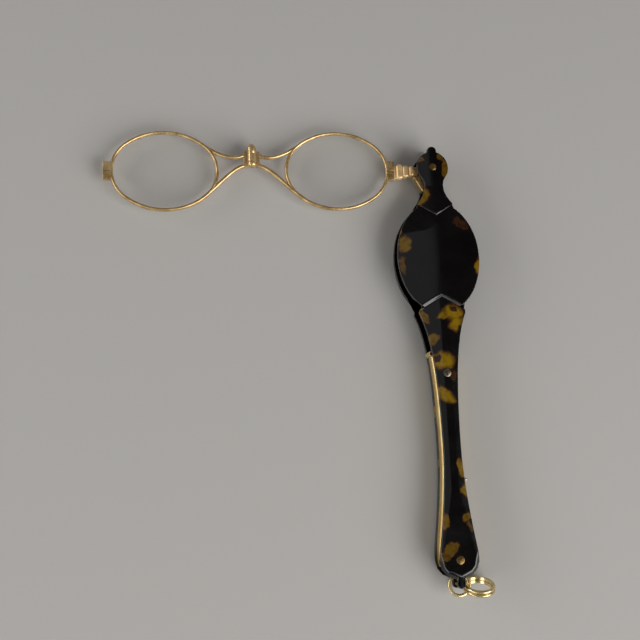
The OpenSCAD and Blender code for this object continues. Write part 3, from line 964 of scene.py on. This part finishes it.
@dataclass
class CarvedPlate:
    """One tortoiseshell plate, filed into facets, its inner face at a given height.

    A size in _t is a thickness, in _s a station, and in _fall or _rise a slope as a Facet has it.
    A size in _v gives a V's stations at its half-width and at the axis. Each end cut is its fall
    per mm and the distance from the tail rivet at which it leaves the top, for each of the turns.
    """

    name: str
    node: str
    inner_z: float
    upward: bool
    shell: PolishedShell
    case_flat: float
    outline: PlateOutline = field(default_factory=PlateOutline)
    blank_t: float = 2.4
    case_t: float = 2.0
    case_edge_t: float = 0.92
    case_ridge: float = 5.0
    head_t: float = 1.8
    head_fall: float = 0.123
    head_ridge: float = 2.4
    flare_t: float = 1.73
    flare_fall: float = 0.09
    flare_rise: float = 0.038
    throat_t: float = 1.7
    throat_slope: float = 0.45
    v_hw: float = 6.7
    throat_v: Plan = (13.3, 17.7)
    root_v: Plan = (50.4, 46.6)
    root_t: float = 1.62
    root_fall: float = -0.137
    root_rise: float = -0.348
    scoop_s: float = 20.3
    scoop_fall: float = 0.013
    scoop_rise: float = 0.09
    shank_t: float = 1.7
    shank_flat: float = 1.2
    shank_fall: float = 0.125
    drop_s: float = 112.0
    drop_spread: float = 0.2
    end_turns: tuple[float, ...] = (24, 50, 76)
    end_cuts: tuple[tuple[float, Place], ...] = ((0.5, (4.7, 5.1, 5.3)), (1.35, (5.1, 5.45, 5.6)))
    tongue_s: float = 2.4
    tongue_crest: float = 0.42
    tongue_fall: float = 0.6
    tongue_rise: Plan = (-0.02, -0.05)
    lap: float = 0.05
    soft: float = 0.28

    def across(self, station: float) -> Bound:
        """The plane straight across the plate at a station, outward towards the tail."""
        return Bound(self.outline.at(0, station), (0, -1))

    def v_line(self, stations: Plan) -> Bound:
        """The plane of one half of a V, outward towards the head.

        Args:
            stations: where the V is at its half-width, and where it is at the axis.

        Returns:
            The plane.
        """
        start = Vector(self.outline.at(0, stations[1]))
        end = Vector(self.outline.at(self.v_hw, stations[0]))
        along = (end - start).normalized()
        return Bound((start.x, start.y), (-along.y, along.x))

    @staticmethod
    def crown(outer: Facet, reach: float, steps: int = 6) -> tuple[Facet, ...]:
        """Rounds the ridge of a facet: fine facets turn it over the axis.

        Args:
            outer: the facet, with its height where it would meet the axis.
            reach: half-width of the rounding.
            steps: number of fine facets.

        Returns:
            The fine facets, the outer one last.
        """
        top = outer.height - outer.fall * reach / 2
        places = [reach * i / steps for i in range(steps + 1)]
        return tuple(
            replace(outer, height=top + outer.fall * x * x / (2 * reach), fall=outer.fall * x / reach)
            for x in places
        )

    def end_facets(self) -> tuple[Facet, ...]:
        """The facets round the pear's end, a soft row inside a steep one.

        Returns:
            The facets.
        """
        return tuple(
            Facet(
                self.shank_t + steep * reach,
                self.outline.sizes.pear_s,
                steep * math.sin(math.radians(turn)),
                -steep * math.cos(math.radians(turn)),
            )
            for steep, reaches in self.end_cuts
            for turn, reach in zip(self.end_turns, reaches)
        )

    def zones(self) -> list[Zone]:
        """The stretches of the right half.

        Returns:
            The stretches, from head to tail.
        """
        h = self.outline.sizes
        neck, drop = self.across(h.neck_s), self.across(self.drop_s)
        throat, root = self.v_line(self.throat_v), self.v_line(self.root_v)
        tongue_s = h.pear_s + self.tongue_s
        case_fall = (self.case_t - self.case_edge_t) / (h.case_hw - self.case_flat)
        case_top = self.case_t + case_fall * (self.case_flat + self.case_ridge / 2)
        shank_crest = self.shank_t + self.shank_fall * self.shank_flat
        fall_in, rise_in = (-self.throat_slope * way for way in throat.out)
        return [
            Zone((neck,), self.crown(Facet(self.head_t, 0, self.head_fall), self.head_ridge)),
            Zone(
                (neck.back(), throat.back()),
                (
                    Facet(self.flare_t, h.neck_s, self.flare_fall, self.flare_rise),
                    Facet(self.throat_t, self.throat_v[1], fall_in, rise_in),
                ),
            ),
            Zone(
                (throat, root.back()),
                (
                    *self.crown(Facet(case_top, h.case_s, case_fall), self.case_ridge),
                    Facet(self.case_t),
                    Facet(self.case_t, self.scoop_s, case_fall + self.scoop_fall, self.scoop_rise),
                    Facet(self.root_t, self.root_v[1], self.root_fall, self.root_rise),
                ),
            ),
            Zone((root, drop), (Facet(shank_crest, 0, self.shank_fall), Facet(self.shank_t))),
            Zone(
                (drop.back(), self.across(h.pear_s + h.pear_len + self.lap)),
                (
                    Facet(shank_crest, self.drop_s, self.shank_fall, self.shank_fall * self.drop_spread),
                    Facet(self.shank_t),
                    *self.end_facets(),
                ),
            ),
            Zone(
                (self.across(tongue_s).back(), Bound((h.tab_hw, 0), (1, 0))),
                (
                    Facet(self.shank_t + self.tongue_crest, tongue_s, self.tongue_fall, self.tongue_rise[0]),
                    Facet(self.shank_t, tongue_s, 0, self.tongue_rise[1]),
                ),
            ),
        ]

    def stretch(self, zone: Zone, solid: Solid) -> None:
        """Cuts one zone out of the half plate and files its facets.

        Args:
            zone: the stretch.
            solid: the piece that gets it.
        """
        part = Solid()
        outline = self.outline.points()
        part.pull(part.face(outline), self.blank_t)
        for bound in zone.bounds:
            part.cut((*bound.at, 0), (*bound.out, 0))
        for facet in zone.facets:
            part.cut((*self.outline.at(0, facet.station), facet.height), (facet.fall, facet.rise, 1))
        solid.take(part)

    def filed(self, edge: BMEdge) -> bool:
        """Tells whether polishing rounds an edge of a half plate.

        Args:
            edge: the edge.

        Returns:
            Whether it is a line between facets or the plate's rim, and not a cut made for the build.
        """
        if len(edge.link_faces) != 2 or max(abs(v.co.x) for v in edge.verts) < 1e-4:
            return False
        h = self.outline.sizes
        ends = [h.pivot_y - v.co.y for v in edge.verts]
        if any(all(abs(s - joint) < 1e-3 for s in ends) for joint in (h.neck_s, self.drop_s)):
            return False
        level = max(abs(f.normal.z) for f in edge.link_faces)
        return level > 0.5 and edge.calc_face_angle(0.0) > math.radians(2.5)

    def build(self) -> None:
        """Makes the plate."""
        solid = Solid()
        for zone in self.zones():
            self.stretch(zone, solid)
        solid.soften(self.soft, 3, self.filed, False)
        # Where lines meet in a point, the rounding would stand proud of the plate
        for vert in solid.bm.verts:
            vert.co.z = min(vert.co.z, self.case_t)
        inner = [f for f in solid.bm.faces if all(abs(v.co.x) < 1e-4 for v in f.verts)]
        bmesh.ops.delete(solid.bm, geom=inner, context="FACES")
        geom = solid.bm.verts[:] + solid.bm.edges[:] + solid.bm.faces[:]
        bmesh.ops.mirror(solid.bm, geom=geom, matrix=Matrix.Identity(4), merge_dist=1e-3, axis="X")
        solid.place(Matrix.Diagonal((1, 1, 1 if self.upward else -1)), (0, 0, self.inner_z))
        solid.finish(self.name, Body.HANDLE, self.shell.material(), self.node)


@dataclass
class CatchStrip:
    """The spring strip: a rolled nose, a leaf with a rounded face, and an eye round the tail rivet."""

    brass: Material
    sizes: Handle = HANDLE
    inset: float = 0.55
    thick: float = 0.95
    height: float = 4.9
    proud: float = 0.62
    foot_round: tuple[Plan, ...] = ((0.35, 0.0), (0.1, 0.35), (0.0, 0.7))
    chamfer: tuple[Plan, ...] = ((0.0, 0.7), (0.06, 0.92), (0.45, 1.42), (0.9, 1.84), (1.1, 1.98))
    nose_out: float = 0.6
    nose_up: float = 0.5
    nose_s: float = 66.6
    nose_r: float = 0.95
    nose_bore: float = 0.5
    foot_s: float = 137.4
    tuck_s: float = 127.0
    tuck: float = 1.1
    eye_r: float = 1.9
    eye_bore: float = 0.86
    eye_t: float = 2.0
    web_in: float = 0.3
    web_w: float = 1.6
    web_gap: float = 0.2
    web_soft: float = 0.15
    tube_soft: float = 0.12

    def leaf(self, solid: Solid, outline: PlateOutline, steps: int = 48) -> None:
        """Draws the leaf along the shank's left edge: an upright face under a broad chamfer.

        Args:
            solid: the piece that gets it, still empty.
            outline: the outline that it follows.
            steps: number of spans.
        """
        half = self.height / 2
        path = []
        for i in range(steps + 1):
            s = self.nose_s + (self.foot_s - self.nose_s) * i / steps
            tucked = self.tuck * max(0.0, (s - self.tuck_s) / (self.foot_s - self.tuck_s)) ** 2
            x = self.inset + tucked - outline.side(s)
            path.append(Vector((x, self.sizes.pivot_y - s, self.sizes.mid_z)))
        section = [
            (self.thick, -half),
            *((u - self.proud, w - half) for u, w in self.foot_round),
            *((u - self.proud, w) for u, w in self.chamfer),
            (self.thick, half),
        ]
        solid.face([path[0] + Vector((u, 0, w)) for u, w in section])
        solid.draw(path, [0.0] * len(path))

    def tube(self, solid: Solid, at: Plan, radius: float, bore: float, height: float) -> None:
        """Turns an upright tube, for the nose and for the eye.

        Args:
            solid: the piece that gets it.
            at: its axis in the plan.
            radius: its outer radius.
            bore: its inner radius.
            height: its length.
        """
        soft = self.tube_soft
        out, top = radius - soft, height - soft
        lower = [(bore, soft), (bore + soft, 0), (out, 0), (radius, soft)]
        upper = [(radius, top), (out, height), (bore + soft, height), (bore, top), (bore, soft)]
        solid.lathe(lower + upper, (*at, self.sizes.mid_z - height / 2))

    def build(self) -> None:
        """Makes the strip."""
        h = self.sizes
        outline = PlateOutline(h)
        solid = Solid()
        self.leaf(solid, outline)
        nose_x = self.inset - self.nose_out - outline.side(self.nose_s)
        nose_y = h.pivot_y - self.nose_s + self.nose_up
        self.tube(solid, (nose_x, nose_y), self.nose_r, self.nose_bore, self.height)
        self.tube(solid, (0, h.pivot_y - h.pear_s), self.eye_r, self.eye_bore, self.eye_t)
        foot_x = self.inset + self.web_in - outline.side(self.foot_s)
        foot_y = h.pivot_y - self.foot_s
        solid.bar(
            (foot_x, foot_y, h.mid_z - self.eye_t / 2),
            (-self.eye_bore - self.web_gap, foot_y + self.web_w, h.mid_z + self.eye_t / 2),
            self.web_soft,
            2,
        )
        solid.finish("catch_strip_rolled", Body.STRIP, self.brass, "catch_strip")


@dataclass
class HandleSet:
    """The two plates and the catch strip between them."""

    brass: Material
    sizes: Handle = HANDLE
    lower: Handle = replace(HANDLE, shoulder_hw=8.55, waist_hw=3.4, pear_hw=7.1)
    land_hw: float = 6.0

    def build(self) -> None:
        """Makes the plates and the catch strip."""
        low_z, high_z = self.sizes.mid_z - self.sizes.gap / 2, self.sizes.mid_z + self.sizes.gap / 2
        below = PlateOutline(self.lower)
        CarvedPlate("carved_upper_plate", "upper_plate", high_z, True, UPPER_SHELL, 0.0).build()
        CarvedPlate(
            "carved_lower_plate", "lower_plate", low_z, False, LOWER_SHELL, self.land_hw, below
        ).build()
        CatchStrip(self.brass).build()


# Front


@dataclass
class FrontHalf:
    """One half of the front: rim, lens and bridge half.

    The half is drawn with its outer end towards +X, then moved to its place. Lugs are given as
    their middle past the rim, width and height. Pairs give the upper arm first, or a foot and a top.
    """

    side: Side
    gold: Material
    glass: Material
    sizes: Front = FRONT
    rim_over: float = 0.08
    right_lugs: Place = (0.65, 2.7, 7.0)
    left_lugs: Place = (0.9, 2.8, 6.4)
    lug_soft: float = 0.2
    slit_half: float = 0.03
    lens_low: float = 0.35
    lens_lap: float = 0.25
    lens_t: float = 1.1
    lens_bevel: float = 0.22
    upper_arm: tuple[Plan, ...] = ((6.6, 3.3), (12.85, 6.25), (17.2, 9.66))
    lower_arm: tuple[Plan, ...] = ((7.4, 1.0), (14.0, -8.0), (19.2, -11.0))
    arms_out: float = 0.9
    arms_y: Plan = (5.75, 2.0)
    arms_half_w: Plan = (0.64, 0.7)
    arms_half_d: float = 0.86
    plate_gap: float = 0.12
    plate_w: float = 1.2
    plate_y: Plan = (0.15, 5.7)
    plate_z: Plan = (0.1, 1.75)
    tongue_in: float = 0.5
    tongue_lap: float = 0.3
    tongue_z: Plan = (-1.35, -0.2)
    plate_soft: float = 0.16
    middle_knuckle: Plan = (1.91, 4.59)
    outer_knuckles: Plan = (1.85, 4.65)
    knuckle_soft: float = 0.04
    barrel_bevel: float = 0.5

    @property
    def body(self) -> Body:
        """The body that this half rides on."""
        return Body.RIGHT_FRONT if self.side is Side.RIGHT else Body.LEFT_FRONT

    @property
    def word(self) -> str:
        """The half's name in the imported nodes."""
        return self.side.name.lower()

    @property
    def lens_x(self) -> float:
        """X of the lens centre."""
        return self.sizes.bridge_x + self.side.value * self.sizes.half_pd

    def put(self, solid: Solid, x: float, z: float = 0.0) -> None:
        """Moves a drawn piece to its place in the front, turned over for the left half."""
        solid.place(Matrix.Diagonal((self.side.value, 1, 1)), (x, self.sizes.pivot_y, z))

    def rim_wire(self, solid: Solid) -> None:
        """Spins the wire's rounded section along the oval's arcs, up to the closing slit.

        Args:
            solid: the piece that gets it, still empty.
        """
        f = self.sizes
        bm = solid.bm
        mid = f.rim_low + f.wire_d / 2
        stand = Matrix.Translation((f.rim_a - f.wire_w / 2, 0, mid)) @ Matrix.Rotation(math.pi / 2, 4, "X")
        shape = Matrix.Diagonal((f.wire_w / 2 + self.rim_over, f.wire_d / 2, 1.0, 1.0))
        bmesh.ops.create_circle(bm, cap_ends=True, segments=20, radius=1.0, matrix=stand @ shape)
        geom: list = bm.verts[:] + bm.edges[:]
        slits = (0.0, 0.0, 0.0, 0.0, f.slit / f.rim_a)
        for (centre, _, start, end), slit, steps in zip(f.rim_arcs, slits, (14, 24, 28, 24, 14)):
            geom = solid.spin(geom, math.radians(end - start) - slit, steps, (*centre, mid))
        solid.close()

    def lugs(self, solid: Solid, out: float, width: float, height: float) -> None:
        """Adds the two lugs beside the slit, as softly rounded bars.

        Args:
            solid: the piece that gets them.
            out: from the rim's outer end to their middle.
            width: across the front.
            height: of both lugs together.
        """
        f = self.sizes
        x = f.rim_a + out
        for low, high in ((-height / 2, -self.slit_half), (self.slit_half, height / 2)):
            near, far = (x - width / 2, low, f.rim_low), (x + width / 2, high, f.rim_low + f.wire_d)
            solid.bar(near, far, self.lug_soft, 4)

    def rim(self) -> None:
        """Makes the rim with its lugs, a pair under the fluted block or the end bar."""
        solid = Solid()
        self.rim_wire(solid)
        self.lugs(solid, *(self.right_lugs if self.side is Side.RIGHT else self.left_lugs))
        self.put(solid, self.lens_x)
        solid.finish(f"{self.word}_rim_wire", self.body, self.gold, f"{self.word}_rim")

    def lens(self) -> None:
        """Makes the lens with its bevelled edge."""
        f = self.sizes
        inset = f.wire_w - self.lens_lap
        oval: list[Vector] = []
        for (centre, radius, start, end), steps in zip(f.rim_arcs, (16, 32, 32, 32, 16)):
            oval += arc(centre, radius - inset, start, end, steps)[:-1]
        solid = Solid()
        solid.pull(solid.face(oval), self.lens_t)
        solid.soften(self.lens_bevel, 2)
        self.put(solid, self.lens_x, f.rim_low + self.lens_low)
        solid.finish(f"{self.word}_lens_ground", self.body, self.glass, f"{self.word}_lens")

    def knuckle(self, solid: Solid, low: float, high: float, foot: float, dome: bool) -> None:
        """Turns one knuckle of the barrel.

        Args:
            solid: the piece that gets it.
            low: its lower end above the lens line.
            high: its upper end.
            foot: chamfer at the lower end.
            dome: whether the upper end is a dome.
        """
        r = self.sizes.barrel_r
        length = high - low
        outline = [(0.0, 0.0), (r - foot, 0.0), (r, foot)]
        if dome:
            swings = [math.pi / 2 * i / 10 for i in range(10)]
            outline += [(r * math.cos(t), length - r + r * math.sin(t)) for t in swings]
        else:
            outline += [(r, length - self.knuckle_soft), (r - self.knuckle_soft, length)]
        outline.append((0.0, length))
        solid.lathe(outline, (0, low, self.sizes.mid_z), Matrix.Rotation(-math.pi / 2, 3, "X"))

    def arms(self, solid: Solid) -> None:
        """Draws both arms from the hinge plate to the rim, the bridge's middle at the origin.

        Args:
            solid: the piece that gets them.
        """
        f = self.sizes
        x, z = f.barrel_r + self.arms_out, f.rim_low + f.wire_d / 2
        upper = bezier((x, self.arms_y[0]), *self.upper_arm, 20)
        lower = bezier((x, self.arms_y[1]), *self.lower_arm, 24)
        for path, half_w in zip((upper, lower), self.arms_half_w):
            solid.wire(path, half_w, self.arms_half_d, z)

    def bridge(self) -> None:
        """Makes this half's arms, hinge plate and knuckles."""
        f = self.sizes
        solid = Solid()
        self.arms(solid)
        inner = f.barrel_r + self.plate_gap
        low, high = (f.barrel_low + y for y in self.plate_y)
        foot, top = (f.rim_low + z for z in self.plate_z)
        solid.bar((inner, low, foot), (inner + self.plate_w, high, top), self.plate_soft)
        # The tongues run from the plate in under the knuckles
        x_from, x_to = self.tongue_in, inner + self.tongue_lap
        z_from, z_to = (f.mid_z + z for z in self.tongue_z)
        below, above = self.outer_knuckles
        spans = [self.middle_knuckle] if self.side is Side.RIGHT else [(0.0, below), (above, f.barrel_len)]
        for start, end in spans:
            y_from, y_to = f.barrel_low + start, f.barrel_low + end
            near, far = (x_from, max(y_from, low), z_from), (x_to, min(y_to, high), z_to)
            solid.bar(near, far, self.plate_soft)
            foot_bevel = self.knuckle_soft if start else self.barrel_bevel
            self.knuckle(solid, y_from, y_to, foot_bevel, end == f.barrel_len)
        self.put(solid, f.bridge_x)
        solid.finish(f"{self.word}_bridge_wire", self.body, self.gold, f"{self.word}_bridge")

    def build(self) -> None:
        """Makes all pieces of this half."""
        self.rim()
        self.lens()
        self.bridge()


@dataclass
class PivotEnd:
    """The fluted block and the hub that join the front to the swing pivot."""

    gold: Material
    hub_gold: Material
    sizes: Front = FRONT
    block_x: float = 13.05
    block_drop: float = 0.5
    ribs: tuple[Place, ...] = ((2.45, 5.5, 1.0), (2.0, 4.3, 1.25), (1.8, 3.6, 1.5))
    rib_soft: float = 0.38
    first_rib: float = 0.9
    rim_gap: float = 0.02
    collar_in: float = 0.9
    collar_y: Plan = (-2.5, 2.1)
    collar_lift: float = 0.08
    collar_soft: float = 0.2
    core_y: Plan = (-1.7, 1.6)
    core_lift: float = 0.5
    core_soft: float = 0.25
    core_gap: float = 0.1
    hub_h: float = 4.2
    hub_soft: float = 0.3
    hub_gap: float = 0.05
    lug_gap: float = 0.4
    lug_soft: float = 0.5
    lug_plan: tuple[Plan, ...] = (
        (-1.2, -4), (-2.1, -7.6), (-3, -8.3), (-4, -7.7), (-4.9, -6), (-5.9, -4.2), (-6.9, -2.8), (-3.4, -2.6)
    )

    def block(self) -> None:
        """Makes the stepped ribs, on a low collar at the rim and a core that reaches the hub."""
        f = self.sizes
        y = f.pivot_y - self.block_drop
        pitch = (self.block_x - f.hub_r) / 4
        first = self.first_rib * pitch - self.block_x
        join = first - self.collar_in
        rim_side, hub_side = self.rim_gap - self.block_x, -f.hub_r - self.core_gap
        foot, top = f.rim_low, f.rim_low + f.wire_d
        solid = Solid()
        for i, (width, height, lift) in enumerate(self.ribs):
            near = (first + i * pitch - width / 2, y - height / 2, foot)
            far = (first + i * pitch + width / 2, y + height / 2, top + lift)
            solid.bar(near, far, width * self.rib_soft, 6)
        bars = (
            (rim_side, join, self.collar_y, self.collar_lift, self.collar_soft),
            (join, hub_side, self.core_y, self.core_lift, self.core_soft),
        )
        for x_from, x_to, (down, up), lift, soft in bars:
            solid.bar((x_from, y + down, foot), (x_to, y + up, top + lift), soft)
        # The ribs take the paler copy of the gold, whose colour holds painted light
        solid.finish("fluted_end_block", Body.RIGHT_FRONT, self.gold, "end_block")

    def hub(self) -> None:
        """Makes the hub with its thumb lug."""
        f = self.sizes
        low = f.mid_z - self.hub_h / 2
        r, soft, top = f.hub_r - self.hub_gap, self.hub_soft, self.hub_h
        outline = ((0, 0), (r - soft, 0), (r, soft), (r, top - soft), (r - soft, top), (0, top))
        solid = Solid()
        solid.lathe(outline, (0, f.pivot_y, low), steps=64)
        lug = Solid()
        lug.pull(lug.face(self.lug_plan), self.hub_h - 2 * self.lug_gap)
        lug.soften(self.lug_soft, 4)
        lug.place(UPRIGHT, (0, f.pivot_y, low + self.lug_gap))
        solid.take(lug)
        # The hub takes the darker copy of the gold, whose colour holds painted shade from the plates
        solid.finish("hub_with_thumb_lug", Body.RIGHT_FRONT, self.hub_gold, "swing_hub")

    def build(self) -> None:
        """Makes both pieces."""
        self.block()
        self.hub()


# Rings


@dataclass
class TailRings:
    """The jump ring on the tail's pin and the split ring that hangs in it."""

    gilt: Material
    pin_y: float = -110.9
    mid_z: float = 4.5
    jump_at: Plan = (0.2, -0.35)
    jump_r: float = 3.4
    jump_wire: float = 1.15
    jump_joint: float = 0.02
    jump_turn: float = 140.0
    split_at: Place = (6.5872, -112.1082, 5.4395)
    split_d: float = 10.8
    split_bore: float = 8.8
    split_wire: float = 1.15
    split_gap: float = 0.1
    split_from: float = 225.0
    split_flat: float = 341.5
    split_step: float = 16.5
    belly: float = 0.58
    shoulder: float = 0.86
    lean: float = 26.0

    def jump(self) -> None:
        """Makes the jump ring, closed with a fine joint."""
        solid = Solid()
        bm = solid.bm
        place = Matrix.Translation((self.jump_r, 0, 0)) @ Matrix.Rotation(math.pi / 2, 4, "X")
        bmesh.ops.create_circle(bm, segments=20, radius=self.jump_wire / 2, matrix=place)
        solid.spin(bm.verts[:] + bm.edges[:], math.tau - self.jump_joint, 72)
        solid.close()
        spot = (self.jump_at[0], self.pin_y + self.jump_at[1], self.mid_z)
        solid.place(Matrix.Rotation(math.radians(self.jump_turn), 3, "Z"), spot)
        solid.finish("jump_ring_wire", Body.JUMP_RING, self.gilt, "jump_ring", weighted=False)

    def split(self) -> None:
        """Makes the split ring: two flat turns of half-round wire with one short step."""
        solid = Solid()
        bm = solid.bm
        thick = (self.split_d - self.split_bore) / 2
        half = self.split_wire / 2
        pitch = self.split_wire + self.split_gap
        swings = [math.radians(15 * i - 90) for i in range(13)]
        rounded = [(thick * (1 - self.belly + self.belly * math.cos(t)), half * math.sin(t)) for t in swings]
        section = [(0.0, -half * self.shoulder), *rounded, (0.0, half * self.shoulder)]
        verts = [bm.verts.new((self.split_bore / 2 + r, 0, h - pitch / 2)) for r, h in section]
        edges = [bm.edges.new(pair) for pair in zip(verts, verts[1:] + verts[:1])]
        solid.place(Matrix.Rotation(math.radians(self.split_from), 3, "Z"), (0, 0, 0))
        geom: list = verts + edges
        flat = (self.split_flat, 0.0, 76)
        for angle, rise, steps in (flat, (self.split_step, pitch, 10), flat):
            geom = solid.spin(geom, math.radians(angle), steps, rise=rise)
        solid.close()
        solid.place(Matrix.Rotation(math.radians(90 + self.lean), 3, "X"), self.split_at)
        solid.finish("split_ring_wire", Body.SPLIT_RING, self.gilt, "split_ring")

    def build(self) -> None:
        """Makes both rings."""
        self.jump()
        self.split()


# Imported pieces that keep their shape


@dataclass
class KeptPieces:
    """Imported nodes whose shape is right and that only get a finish."""

    gold: Material
    brass: Material

    def finishes(self) -> dict[Material, tuple[str, ...]]:
        """The kept nodes of each finish.

        Returns:
            Their names by material.
        """
        return {
            self.brass: ("pivot_washers", "shank_spacer", "tail_spacers", "ring_pin", "backing_strip"),
            OLD_RIVET.material(): ("pivot_pin", "tail_rivet"),
            self.gold: ("right_closing_screw", "left_closing_screw"),
            OLD_SCREW.material(): ("shank_rivet", "button_bush"),
            NICKEL.material(): ("release_button", "bridge_pin"),
        }

    def build(self) -> None:
        """Dresses each kept node."""
        for material, names in self.finishes().items():
            for name in names:
                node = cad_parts[name]
                node.data.materials.clear()
                node.data.materials.append(material)
                log.info("%s: packed shape, finish %s", name, material.name)


# Studio


@dataclass(frozen=True)
class SoftBox:
    """A lamp that faces the lorgnette: its place and its size in metres, and its power in watts."""

    name: str
    at: Place
    size: Plan
    power: float
    aim: Place = (-0.03, -0.02, 0.0)

    def hang(self) -> None:
        """Hangs it in the room."""
        data = bpy.data.lights.new(self.name, "AREA")
        data.shape = "RECTANGLE"
        data.size, data.size_y = self.size
        data.energy = self.power
        lamp = show(self.name, data)
        lamp.location = self.at
        lamp.rotation_euler = (Vector(self.aim) - Vector(self.at)).to_track_quat("-Z", "Y").to_euler()


SOFT_BOXES = (
    SoftBox("window", (0.85, -0.75, 0.75), (1.25, 1.0), 16.5),
    SoftBox("ceiling", (-0.28, 0.15, 1.2), (1.0, 0.9), 0.62),
    SoftBox("strip", (0.35, -0.57, 1.2), (1.6, 0.2), 1.2),
    SoftBox("bounce", (-0.9, 0.05, 0.3), (0.9, 0.3), 3.0),
    SoftBox("front", (-0.8, -0.78, 0.42), (0.8, 0.4), 2.6),
)


@dataclass
class Studio:
    """The floor, the soft light and the camera."""

    eye: Place = (-102.0, -84.4, 361.0)
    turn: Place = (10.45, -9.0, -2.87)
    lens: float = 60.6
    floor_size: float = 6000.0
    walls: str = "#8C8C8E"
    wall_light: float = 0.75
    ceiling_light: float = 0.08

    def camera(self) -> None:
        """Sets the camera above the lorgnette, a little towards its tail."""
        data = bpy.data.cameras.new("camera")
        data.lens = self.lens
        data.sensor_width = 36.0
        data.clip_start = 0.01
        camera = show("camera", data)
        camera.location = Vector(self.eye) * MM
        camera.rotation_euler = [math.radians(a) for a in self.turn]
        bpy.context.scene.camera = camera

    def floor(self) -> None:
        """Lays the floor."""
        bm = bmesh.new()
        bmesh.ops.create_grid(bm, x_segments=1, y_segments=1, size=self.floor_size * MM / 2)
        mesh = bpy.data.meshes.new("floor")
        bm.to_mesh(mesh)
        bm.free()
        mesh.materials.append(MattePaper().material())
        floor = show("floor", mesh)

    def world(self) -> None:
        """Fills the room with dim light from its walls, and less from straight above."""
        world = bpy.data.worlds.new("room")
        world.use_nodes = True
        tree = world.node_tree
        tree.nodes.clear()
        way = add_node(tree, "TexCoord").outputs["Generated"]
        up = add_node(tree, "SeparateXYZ", {"Vector": way}).outputs["Z"]
        walls, above = self.wall_light, self.ceiling_light
        levels = {"Value": up, "From Min": 0.3, "From Max": 0.85, "To Min": walls, "To Max": above}
        level = add_node(tree, "MapRange", levels)
        room = add_node(tree, "Background", {"Color": linear(self.walls), "Strength": level})
        add_node(tree, "OutputWorld", {"Surface": room})
        bpy.context.scene.world = world

    def build(self) -> None:
        """Sets everything up."""
        self.camera()
        self.floor()
        for box in SOFT_BOXES:
            box.hang()
        self.world()
        bpy.context.scene.view_settings.view_transform = "Standard"


def main() -> None:
    """Builds the lorgnette's pieces in order."""
    Studio().build()
    gold, brass, glass = ROLLED_GOLD.material(), ROLLED_BRASS.material(), SpectacleGlass().material()
    HandleSet(brass).build()
    for side in Side:
        FrontHalf(side, gold, glass).build()
    PivotEnd(RIB_GOLD_PAINTED_LIGHT.material(), HUB_GOLD_PAINTED_SHADE.material()).build()
    TailRings(GILT_RINGS.material()).build()
    KeptPieces(gold, brass).build()


if __name__ == "__main__":
    main()
